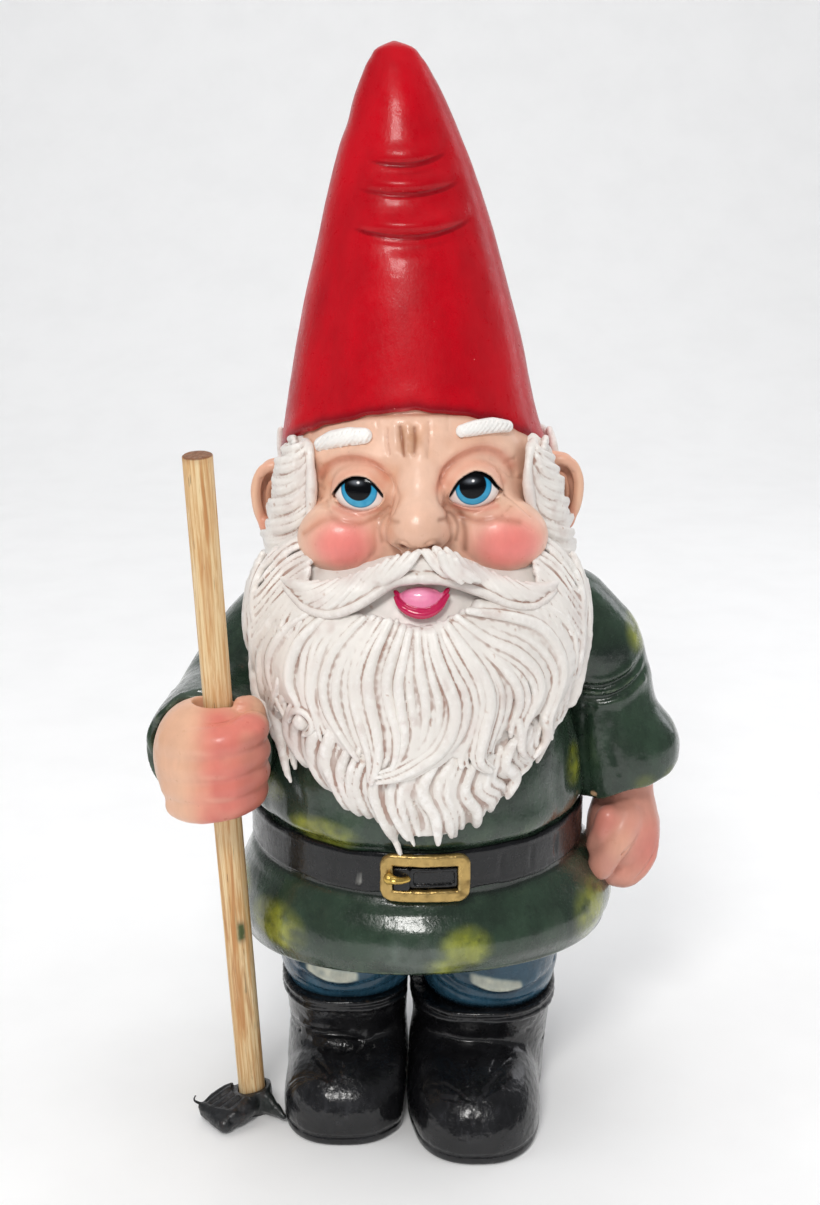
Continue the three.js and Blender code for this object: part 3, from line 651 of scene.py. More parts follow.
# ---- hat -------------------------------------------------------------------------------
def build_hat():
    nu, outer, rim, inner = 260, 190, 9, 40
    th = np.linspace(-math.pi, math.pi, nu, endpoint=False)
    zr = np.full(nu, 316.5)
    for _ in range(12):
        y = on_ring(HAT, th, zr)[:, 1]
        zr = 0.5 * zr + 0.5 * brim_z(y)
    # the painted edge wanders, and dips a little at the temples
    edge = 0.7 * np.sin(3 * th + 0.7) + 0.5 * np.sin(7 * th + 2.0) + 0.35 * np.sin(17 * th + 1.1) + 0.22 * np.sin(31 * th)
    zr = zr + edge * 0.8 - 1.2
    rows = []
    for t in np.linspace(0, 1, outer):
        s = (1 - t) ** 1.35
        z = zr * (1 - s) + 487.97 * s
        rows.append(on_ring(HAT, th, z))
    for a in np.linspace(0, math.pi, rim)[1:]:  # the rolled rim
        z = zr - 1.7 * math.sin(a) - 0.2
        rows.append(on_ring(HAT, th, zr, 1.7 * math.cos(a) - 1.7) + np.stack([0 * z, 0 * z, z - zr], -1))
    for t in np.linspace(0, 1, inner)[1:]:
        s = t**1.2
        z = (zr + 1) * (1 - s) + 470 * s
        rows.append(on_ring(HAT, th, z, -3.4 - 1.5 * min(1, t * 6)))
    v, q, cap = shell(np.array(rows))
    n = vertex_normals(v, q)
    out = np.zeros(len(v))
    out[: outer * nu] = 1
    ang = np.tile(th, len(v) // nu + 1)[: len(v)]
    a0 = np.sin(ang - 0.12)
    z = v[:, 2]
    # three soft folds across the front, each a lip hanging over a crease, higher to the left side
    d = np.zeros(len(v))
    for zc, wide, depth, lip, tilt, sag in ((438.5, 0.62, 1.4, 0.9, 2.4, 3.2), (426.5, 0.72, 1.8, 1.5, 2.0, 3.6), (409.5, 0.74, 1.6, 2.3, 2.4, 5.0)):
        x = a0 / wide
        mask = np.clip(1 - x * x, 0, 1) ** 1.1 * (np.cos(ang) > 0)
        line = zc + tilt * a0 + sag * x * x
        u = z - line
        d += mask * (lip * np.exp(-(((u - 4.0) / 3.6) ** 2)) - depth * np.exp(-((u / 1.25) ** 2)) - 0.5 * depth * np.exp(-(((u + 3.0) / 3.4) ** 2)))
    # broad hand-modelled unevenness
    p = v.copy()
    d += 0.75 * noise(p, 46, 3, 2) + 0.16 * noise(p, 13, 5, 2)
    d += -1.0 * np.exp(-(((z - 455) / 6) ** 2)) * np.clip(-np.sin(ang + 0.5), 0, 1) ** 2
    d += -0.8 * np.exp(-(((z - 405 - 4 * a0) / 4.5) ** 2)) * np.exp(-(((ang - 0.15) / 0.5) ** 2))
    # the skirt of the hat swells just above its rim
    zrv = np.tile(zr, len(v) // nu + 1)[: len(v)]
    d += 0.9 * np.exp(-(((z - zrv - 4) / 5) ** 2)) * (0.6 + 0.4 * np.sin(5 * ang))
    v = v + n * (d * out)[:, None]
    cav = cavity(v, q, 14)
    tint = np.tile(RED, (len(v), 1))
    tint = mix(tint, rgb(150, 4, 22), 0.6 * ramp(noise(p, 30, 8, 3), 0.1, 0.8))
    tint = mix(tint, rgb(120, 0, 16), 0.8 * np.exp(-((z - zrv) / 2.2) ** 2))
    tint = mix(tint, rgb(214, 96, 96), 0.55 * ramp(noise(p * [1, 1, 3], 9, 21, 2), 0.35, 0.8) * np.exp(-((z - zrv + 1.2) / 1.0) ** 2))
    return make_object("hat_shell", v, [q, cap], "figure", "hat", M["hat"], {"cav": cav}, tint)


# ---- tunic -----------------------------------------------------------------------------
def build_tunic():
    nu, nr = 300, 176
    th = np.linspace(-math.pi, math.pi, nu, endpoint=False)
    zs = np.linspace(243, 79, nr)
    rows = [on_ring(TUNIC, th, np.full(nu, z)) for z in zs]
    # edge of the hem rolls under and the underside closes the casting round the legs
    for a in np.linspace(0, math.pi, 9)[1:]:
        rows.append(on_ring(TUNIC, th, np.full(nu, 79.0), 2.6 * math.cos(a) - 2.6) + np.array([0, 0, -2.0 * math.sin(a)]))
    for t in np.linspace(0, 1, 26)[1:]:
        z = 79 + 13.0 * ramp(t, 0, 0.35)
        p = on_ring(TUNIC, th, np.full(nu, 79.0), -5.2)
        c = np.array([3.6, 0, 0])
        p = c + (p - c) * (1 - t * 0.97)
        p[:, 2] = z
        rows.append(p)
    rows = np.array(rows)
    rows[..., 2] += hem_shift(rows[..., 0], rows[..., 1], rows[..., 2])
    v, q, cap = shell(rows)
    n = vertex_normals(v, q)
    ang = np.tile(th, len(v) // nu + 1)[: len(v)]
    x, y, z = v.T
    out = np.zeros(len(v))
    out[: nr * nu] = 1
    # the cloth is modelled smooth: faint waves in the skirt, a full roll over the belt
    wav = np.sin(7 * ang + 0.6 + 0.8 * np.sin(2 * ang)) + 0.5 * np.sin(13 * ang + 1.9)
    d = 0.42 * wav * ramp(z, 124, 92)
    d += np.exp(-(((z - 155) / 6.0) ** 2)) * (0.35 * np.sin(9 * ang + 0.9 + 1.3 * np.sin(3 * ang)) + 0.25 * np.sin(17 * ang + 2.1) + 0.7)
    for a1, a2, s in ((0.85, 1.15, 1.0), (1.05, 1.3, 0.8), (-0.72, -1.0, 0.9), (-0.95, -1.2, 0.8), (2.0, 1.8, 0.9), (-2.0, -1.8, 0.9), (2.6, 2.3, 0.8), (-2.6, -2.4, 0.8), (1.65, 1.6, 0.7)):
        u = np.clip((z - 150) / 55, 0, 1)
        line = a1 + (a2 - a1) * u + 0.05 * np.sin(u * 7 + a1 * 9)
        d -= s * 0.55 * np.exp(-(((ang - line) / 0.06) ** 2)) * ramp(z, 150, 157) * ramp(z, 205, 168)
        d += s * 0.4 * np.exp(-(((ang - line - 0.1) / 0.08) ** 2)) * ramp(z, 150, 157) * ramp(z, 205, 168)
    d += 0.5 * noise(v, 30, 12, 2) + 0.13 * noise(v * [1, 1, 0.5], 8, 14, 2)
    belt = ramp(z, 125, 129) * ramp(z, 152, 149)
    d *= 1 - belt
    d -= 1.0 * np.exp(-(((z - 127.2) / 2.0) ** 2)) + 0.5 * np.exp(-(((z - 150.4) / 1.6) ** 2))
    d = np.maximum(d, -2.2)
    v = v + n * (d * out)[:, None]
    cav = cavity(v, q, 12)
    x, y, z = v.T
    p = v
    tint = np.tile(GREEN, (len(v), 1))
    tint = mix(tint, rgb(28, 38, 34), 0.85 * ramp(noise(p, 26, 41, 3), 0.05, 0.75))
    tint = mix(tint, rgb(66, 84, 66), 0.55 * ramp(noise(p, 15, 43, 3), 0.15, 0.8))
    # brushed patches of olive, with dabbed broken edges
    dab = 0.55 + 0.6 * noise(p * [1, 1, 1.6], 6.5, 51, 3)
    for c, r, s in (
        ((-42, -66, 154), (22, 22, 9), 1.0), ((-70, -42, 166), (14, 20, 8), 0.6), ((-66, -58, 104), (23, 24, 13), 1.0), ((-84, -20, 110), (14, 22, 9), 0.8),
        ((21, -84, 106), (14, 20, 12), 1.0), ((12, -85, 98), (11, 20, 7), 0.8), ((78, -40, 104), (18, 22, 15), 0.95), ((92, -6, 98), (12, 22, 14), 0.8), ((72, -30, 172), (8, 16, 12), 0.75),
        ((60, 58, 100), (26, 24, 13), 0.95), ((-30, 82, 98), (28, 22, 12), 0.9), ((-72, 44, 104), (18, 22, 13), 0.8), ((20, 76, 158), (24, 22, 10), 0.8), ((-52, 52, 176), (20, 24, 14), 0.7), ((44, 54, 200), (20, 26, 14), 0.6)):
        m = blob(p, c, r) * 2.4 * dab * s
        tint = mix(tint, OLIVE, np.clip(m, 0, 0.9) * 0.85)
        tint = mix(tint, rgb(170, 172, 60), np.clip(m - 0.75, 0, 0.5) * 0.6)
    # painted highlight: the highest swell of the skirt is painted a pale silver green, where the light's reflection
    # falls
    tint = mix(tint, rgb(128, 138, 132), np.clip(blob(p, (4, -86, 103), (30, 24, 11)) * (0.6 + 0.7 * noise(p, 4, 61, 3)), 0, 1) * 0.5)
    # painted shade: a dark band on the cloth just under the belt
    tint = mix(tint, rgb(20, 26, 22), 0.75 * np.exp(-(((z - 127.6) / 1.8) ** 2)) + 0.0 * z)
    return make_object("tunic_cloth", v, [q, cap], "figure", "tunic", M["tunic"], {"cav": cav}, tint)


# ---- belt ------------------------------------------------------------------------------
def build_belt():
    nu = 420
    th = np.linspace(-math.pi, math.pi, nu, endpoint=False)
    half, thick = 9.6, 3.2
    prof = []
    for a in np.linspace(0, 2 * math.pi, 40, endpoint=False):  # rounded rectangle, from the outer face
        c, s = math.cos(a), math.sin(a)
        prof.append((thick * 0.5 * np.sign(c) * abs(c) ** 0.45, half * np.sign(s) * abs(s) ** 0.32))
    rows = []
    sway = 0.5 * np.sin(2 * th + 0.6) + 0.35 * np.sin(5 * th)
    for r, h in prof:
        wob = 0.35 * np.sin(11 * th + 3 * np.sign(h)) + 0.25 * np.sin(23 * th + np.sign(h)) if abs(h) > 6 else 0
        z = 139.0 + h + wob + sway
        base = on_ring(TUNIC, th, np.full(nu, 139.0), 1.7 + r)
        base[:, 2] = z
        rows.append(base)
    rows = np.array(rows + [rows[0]])
    v = rows[:-1].reshape(-1, 3)
    nr = len(prof)
    i, j = np.meshgrid(np.arange(nu), np.arange(nr))
    i, j = i.ravel(), j.ravel()
    q = np.stack([j * nu + i, j * nu + (i + 1) % nu, (j + 1) % nr * nu + (i + 1) % nu, (j + 1) % nr * nu + i], 1)
    q = outward(v, q)
    n = vertex_normals(v, q)
    ang = np.tile(th, nr)
    radial = np.hypot(v[:, 0] - 0.3, v[:, 1])
    front = (np.repeat([r for r, _ in prof], nu) > 0.6)
    d = 0.22 * noise(v, 8, 71, 3) + 0.3 * noise(v, 30, 72, 2)
    # a raised edge line along each border and pricked holes each side of the buckle
    hgt = v[:, 2] - 139.0 - np.tile(sway, nr)
    d += front * (0.2 * np.exp(-(((np.abs(hgt) - 7.6) / 0.8) ** 2)) - 0.14 * np.exp(-(((np.abs(hgt) - 6.2) / 0.7) ** 2)))
    holes = [(-0.47, 1.2), (-0.335, -4.6), (0.49, 0.5), (0.70, 0.8), (0.92, 0.6)]
    hole_shade_mask = np.zeros(len(v))
    for a, h in holes:
        r2 = ((ang - a) * 80) ** 2 + (hgt - h) ** 2
        d -= front * 1.5 * np.exp(-r2 / 1.6)
        d += front * 0.25 * np.exp(-((np.sqrt(r2) - 2.1) / 0.6) ** 2)
        hole_shade_mask = np.maximum(hole_shade_mask, np.exp(-r2 / 1.4))
    v = v + n * d[:, None]
    cav = cavity(v, q, 6)
    tint = np.tile(rgb(16, 17, 19), (len(v), 1))
    tint = mix(tint, rgb(34, 35, 38), 0.5 * ramp(noise(v, 12, 75, 3), 0.1, 0.8))
    # painted shade: the pricked holes are painted darker than the strap
    tint = mix(tint, rgb(8, 8, 9), hole_shade_mask)
    tint = mix(tint, rgb(190, 190, 184), 0.8 * np.exp(-(((ang + 0.335) * 80) ** 2 + (hgt + 5.4) ** 2) / 0.5) * front)
    return make_object("belt_strap", v, q, "figure", "belt", M["belt"], {"cav": cav}, tint)


# ---- buckle ----------------------------------------------------------------------------
def build_buckle():
    f = Field((-20, -88, 124), (27, -72, 154), 0.42)
    sl, x, y, z = f.all()
    cx, cz, hw, hh = 3.4, 139.0, 17.4, 8.9
    r = np.sqrt((x - 0.3) ** 2 + (y * F32(77 / 76.6)) ** 2)
    depth = r - F32(82.0)
    px, pz = np.abs(x - cx) - (hw - 3.2), np.abs(z - cz + 0.02 * (x - cx)) - (hh - 3.2)
    edge = np.sqrt(np.maximum(px, 0) ** 2 + np.maximum(pz, 0) ** 2) + np.minimum(np.maximum(px, pz), 0) - 3.2
    bar = np.abs(edge + F32(0.45)) - F32(2.8)
    a, b = bar + 1.3, np.abs(depth) - 1.75 + 1.3
    f.d[:] = np.sqrt(np.maximum(a, 0) ** 2 + np.maximum(b, 0) ** 2) + np.minimum(np.maximum(a, b), 0) - 1.3
    v, q = f.mesh()
    n = vertex_normals(v, q)
    v = v + n * (0.22 * noise(v, 5, 81, 2) + 0.16 * noise(v, 2.2, 82, 2))[:, None]
    tint = np.tile(rgb(188, 158, 98), (len(v), 1))
    tint = mix(tint, rgb(104, 82, 44), 0.7 * ramp(noise(v * [1, 1, 2], 5, 84, 3), 0.1, 0.7))
    e2 = np.abs(np.hypot(v[:, 0] - 0.3, v[:, 1]) - 82) > 1.3
    # painted shade: the back of the frame, against the belt, is painted dark brown
    tint = mix(tint, rgb(50, 36, 18), 0.5 * (np.hypot(v[:, 0] - 0.3, v[:, 1]) < 80.9))
    make_object("buckle_frame", v, q, "figure", "belt_buckle", M["gold"], {"cav": cavity(v, q, 6)}, tint)

    # the prong, dabbed gold
    f = Field((-19, -90, 132), (2, -76, 147), 0.34)
    f.line(bezier([(-12.6, -85.0, 140.4), (-9.6, -85.6, 140.2), (-7.0, -85.0, 139.7), (-4.2, -83.4, 139.6)], 10), np.linspace(2.0, 1.3, 10), k=0.4)
    f.ball((-12.4, -84.4, 140.4), (2.2, 2.0, 2.7), k=1.2)
    f.line([(-11.5, -87.0, 140.9), (-6, -86.4, 140.3)], 0.5, "push", amount=0.4)
    v, q = f.mesh()
    v = v + vertex_normals(v, q) * (0.12 * noise(v, 2.2, 86, 2))[:, None]
    tint = np.tile(rgb(214, 180, 96), (len(v), 1))
    tint = mix(tint, rgb(90, 66, 30), 0.5 * ramp(noise(v, 2.4, 87, 2), 0.1, 0.7))
    make_object("buckle_tongue", v, q, "figure", "buckle_prong", M["gold"], {"cav": cavity(v, q, 4)}, tint)

    # the black keeper loop and belt end showing in the window
    f = Field((-14, -86, 130), (21, -74, 148), 0.36)
    sl, x, y, z = f.all()
    r = np.sqrt((x - 0.3) ** 2 + (y * F32(77 / 76.6)) ** 2)
    depth = r - F32(80.6)

    def slab(cx, cz, hw, hh, half, rnd=1.4):
        px, pz = np.abs(x - cx) - (hw - rnd), np.abs(z - cz) - (hh - rnd)
        e = np.sqrt(np.maximum(px, 0) ** 2 + np.maximum(pz, 0) ** 2) + np.minimum(np.maximum(px, pz), 0) - rnd
        a, b = e + 0.5, np.abs(depth) - half + 0.5
        return np.sqrt(np.maximum(a, 0) ** 2 + np.maximum(b, 0) ** 2) + np.minimum(np.maximum(a, b), 0) - 0.5

    tip = slab(7.2, 138.8, 10.6, 4.6, 1.5)
    hollow = slab(7.2, 138.8, 9.0, 3.0, 0.5)
    depth = depth - F32(1.2)
    hollow = slab(7.2, 138.8, 9.0, 3.0, 0.75)
    depth = depth + F32(1.2)
    f.d[:] = smin(smax(tip, -hollow, 0.5), slab(-7.0, 138.6, 3.6, 5.4, 2.4), 0.6)
    v, q = f.mesh()
    v = v + vertex_normals(v, q) * (0.14 * noise(v, 2.4, 88, 2))[:, None]
    tint = np.tile(rgb(24, 25, 27), (len(v), 1))
    make_object("belt_end", v, q, "figure", None, M["belt"], {"cav": cavity(v, q, 4)}, tint)


# ---- staff -----------------------------------------------------------------------------
def staff_frame():
    w = STAFF_DIR
    u = np.cross(w, [0, 1, 0])
    u /= np.linalg.norm(u)
    return u, np.cross(w, u), w


def wood_material():
    n = Nodes("bare_dowel")
    loc = n.new("ShaderNodeAttribute", attribute_name="loc").outputs["Vector"]
    col = n.attr("tint", True)
    grain = n.noise(1.5, 5.0, 0.65, (1, 1, 0.035), 0.6, loc)
    broad = n.noise(5.0, 3.0, 0.6, (1, 1, 0.05), 1.2, loc)
    hair = n.noise(0.42, 3.0, 0.6, (1, 1, 0.02), 0.0, loc)
    c = n.mixc(tuple(rgb(232, 206, 160)), tuple(rgb(205, 158, 104)), n.map(grain, 0.38, 0.62))
    c = n.mixc(c, tuple(rgb(186, 128, 76)), n.map(broad, 0.54, 0.68, 0.0, 0.75))
    c = n.mixc(c, tuple(rgb(240, 222, 184)), n.map(broad, 0.42, 0.3, 0.0, 0.6))
    c = n.mixc(c, tuple(rgb(120, 80, 46)), n.map(hair, 0.64, 0.72, 0.0, 0.7))
    pores = n.new("ShaderNodeTexVoronoi", feature="F1")
    mp = n.new("ShaderNodeMapping")
    mp.inputs["Scale"].default_value = (1, 1, 0.09)
    n.link(loc, mp.inputs[0])
    n.link(mp.outputs[0], pores.inputs["Vector"])
    pores.inputs["Scale"].default_value = 1000 / 1.6
    dash = n.math("MULTIPLY", n.map(pores.outputs["Distance"], 0.1, 0.16, 1.0, 0.0), n.map(n.noise(9.0, 2.0, 0.5, (1, 1, 0.4), 0, loc), 0.5, 0.6))
    c = n.mixc(c, tuple(rgb(104, 72, 46)), n.math("MULTIPLY", dash, 0.55))
    c = n.mixc(c, col, n.attr("mask"))
    n.link(c, n.b.inputs["Base Color"])
    n.b.inputs["IOR"].default_value = 1.45
    n.link(n.map(grain, 0.3, 0.7, 0.5, 0.66), n.b.inputs["Roughness"])
    nor = n.bump(grain, 0.22, 0.8)
    nor = n.bump(hair, 0.08, 0.6, nor)
    n.link(n.bump(dash, -0.15, 0.8, nor), n.b.inputs["Normal"])
    return n.m


def build_staff():
    u, w2, w = staff_frame()
    length = np.linalg.norm(STAFF_TOP - STAFF_BOTTOM)
    nu, nr = 72, 300
    th = np.linspace(0, 2 * math.pi, nu, endpoint=False)
    rows, loc = [], []
    prof = [(0.0, 2.0), (0.0, 4.2), (0.0, 5.4), (0.25, 6.0)] + [(s, 6.32) for s in np.linspace(0.8, length - 0.7, nr)] + [(length - 0.2, 6.05), (length, 5.5), (length, 4.4), (length, 3.0), (length, 1.4)]
    for s, r in prof:
        if r > 6:
            r = r + 0.10 * np.sin(3 * th + s / 61) + 0.05 * np.sin(7 * th + s / 23) + 0.05 * np.sin(13 * th + s / 40)
        else:
            r = r + 0 * th
        bow = 0.5 * math.sin(math.pi * s / length)
        p = STAFF_BOTTOM + w * s + np.outer(r * np.cos(th) + bow, u) + np.outer(r * np.sin(th), w2)
        rows.append(p)
        loc.append(np.stack([r * np.cos(th), r * np.sin(th), np.full(nu, s)], -1))
    v, q, cap = shell(np.array(rows)[::-1])
    loc = np.array(loc)[::-1].reshape(-1, 3)
    loc = np.vstack([loc, [[0, 0, length]], [[0, 0, 0]]])
    ang = np.arctan2(v[:, 1] - (STAFF_BOTTOM + np.outer(loc[:, 2], w))[:, 1], v[:, 0] - (STAFF_BOTTOM + np.outer(loc[:, 2], w))[:, 0])
    s = loc[:, 2]
    tint = np.tile(rgb(120, 70, 48), (len(v), 1))
    mask = np.zeros(len(v))
    top = s > length - 0.3
    ring = 0.5 + 0.5 * np.sin(np.hypot(loc[:, 0] + 2, loc[:, 1] - 1) * 5.5)
    tint = mix(tint, rgb(92, 44, 34), ring * top)
    mask = np.maximum(mask, top * 0.85)
    mask = np.maximum(mask, 0.5 * ramp(s, length - 3.5, length) * (0.5 + 0.5 * noise(loc, 2.0, 91, 2)))
    # a rub of green paint and a few thin flecks from the tunic
    da = (ang + 1.25 + math.pi) % (2 * math.pi) - math.pi
    smear = np.exp(-((da / 0.33) ** 4) - (((s - 99.0) / 5.6) ** 4)) * (0.8 + 0.5 * noise(loc * [1, 1, 0.5], 1.4, 92, 2))
    fleck = ramp(noise(loc * [1.6, 1.6, 0.16], 2.4, 93, 2), 0.52, 0.66) * ramp(s, 150, 60) * np.exp(-(((da + 0.1) / 0.9) ** 2))
    green = np.clip(smear * 1.3, 0, 1)
    g2 = np.clip(fleck * 0.6, 0, 1)
    tint = mix(tint, rgb(52, 76, 34), np.maximum(green, (g2 > 0.05) * 1.0))
    mask = np.maximum(mask, np.maximum(green * 0.95, g2))
    # a grip weight near where the fist holds it, not used
    grip = 0.25 * np.exp(-(((s - 190) / 36) ** 2))
    ob = make_object("dowel", v, [q, cap], "staff", "staff", wood_material(), {"mask": np.clip(mask, 0, 1)}, tint)
    at = ob.data.attributes.new("loc", "FLOAT_VECTOR", "POINT")
    at.data.foreach_set("vector", (loc / 1000).astype(F32).ravel())


# ---- mattock head ----------------------------------------------------------------------
def build_tool():
    u, w2, w = staff_frame()

    def at(turn, along, across, up):
        """A point in the head's own axes: along an arm, across it, and up the handle."""
        t = math.radians(turn)
        d = np.array([math.cos(t), math.sin(t), 0.0])
        d = d - w * (d @ w)
        d /= np.linalg.norm(d)
        return STAFF_BOTTOM + d * along + np.cross(w, d) * across + w * up

    f = Field((-112, -78, -1), (-52, -26, 20), 0.42)
    # socket, its mouth cut on the slant
    f.line([at(0, 0, 0, -1.2), at(0, 0, 0, 8.2)], [9.2, 8.4], k=1)
    f.line([at(318, 1.0, 0, 2), at(318, 1.6, 0, 10.6)], [8.2, 7.7], k=2)
    # adze: a broad drooping blade of flattened lumps
    for al, up, r in ((8, 5.2, 8.4), (13, 4.8, 7.8), (18, 4.3, 6.6), (22.5, 3.7, 5.0)):
        half = {8: 6.0, 13: 7.0, 18: 7.4, 22.5: 7.0}[al]
        f.line([at(222, al, -half, up - 0.4), at(222, al, half, up)], [r * 0.62, r * 0.62], k=3.5)
    f.line([at(222, 22.6, -8.5, 2.6), at(222, 22.8, 8.5, 3.0)], [2.4, 2.6], k=2.5)
    # pick: a three-sided fin that narrows to a point at the ground
    f.line([at(318, 5, 0, 2.2), at(318, 13, 0, 2.0), at(318, 21.0, 0, 1.2)], [4.2, 2.8, 0.8], k=2.0)
    f.line([at(318, 5, 0, 10.5), at(318, 10.5, 0, 7.0), at(318, 16, 0, 3.8), at(318, 20.6, 0, 1.4)], [2.6, 1.8, 1.3, 0.8], k=2.5)
    f.line([at(318, 6, 0, 6.5), at(318, 11.5, 0, 4.4)], [2.6, 1.9], k=2.5)
    # carved ridges across the blade's top and its bright front edge
    for i, (a0, a1, c0, c1) in enumerate(((6, 21, -7, -8.4), (7, 21, -3.5, -4.6), (8, 21.5, 0.5, 0.2), (9, 21, 4.5, 5))):
        f.line([at(222, a0, c0, 10.0), at(222, (a0 + a1) / 2, (c0 + c1) / 2, 8.7), at(222, a1, c1, 6.2)], 1.0, "push", amount=0.8 + 0.15 * (i % 2))
    f.line([at(222, 23.6, -9.5, 5.2), at(222, 21.6, 0, 6.6), at(222, 17.5, 9.4, 7.6)], 1.1, "push", amount=-1.1)
    f.line([at(222, 25.2, -9, 2.8), at(222, 24.2, 0, 4.2), at(222, 20.5, 10, 5.0)], 1.2, "push", amount=0.7)
    # the bore
    f.line([at(0, 0, 0, 0.5), at(0, 0, 0, 20)], 6.75, "cut", k=0.5)
    # a curl of trapped paint at the blade's corner
    f.line(bezier([at(222, 22.5, -9.5, 5.0), at(222, 25.4, -10.4, 7.6), at(222, 26.6, -10.2, 9.8), at(222, 26.0, -9.6, 12.0)], 12), np.linspace(0.75, 0.42, 12), k=0.5)
    sl, x, y, z = f.all()
    f.d[:] = smax(f.d, (0.05 - z).astype(F32) + 0 * f.d, 0.4)
    # slanted mouth of the socket
    m0, mn = at(318, 0, 0, 8.8), at(318, -0.26, 0, 1) - at(318, 0, 0, 0)
    mn = mn / np.linalg.norm(mn)
    plane = (x - F32(m0[0])) * F32(mn[0]) + (y - F32(m0[1])) * F32(mn[1]) + (z - F32(m0[2])) * F32(mn[2])
    near = (x - F32(m0[0])) ** 2 + (y - F32(m0[1])) ** 2 - F32(105.0)
    f.d[:] = np.where(near < 0, smax(f.d, plane.astype(F32), 0.8), f.d)
    v, q = f.mesh()
    n = vertex_normals(v, q)
    v = v + n * (0.3 * noise(v, 5, 95, 3) + 0.12 * noise(v, 1.8, 96, 2))[:, None]
    v[:, 2] = np.maximum(v[:, 2], 0.02)
    tint = np.tile(rgb(34, 35, 37), (len(v), 1))
    # painted highlight: faces turned upwards are painted a paler grey in patches
    tint = mix(tint, rgb(74, 72, 74), 0.5 * ramp(noise(v, 5, 97, 3), 0.0, 0.7) * ramp(n[:, 2], 0.2, 0.8))
    tint = mix(tint, rgb(30, 40, 34), 0.6 * blob(v, at(318, 14, 0, 5), (12, 12, 12)))
    make_object("mattock_casting", v, q, "mattock_head", "mattock_head", M["tool"], {"cav": cavity(v, q, 6)}, tint)


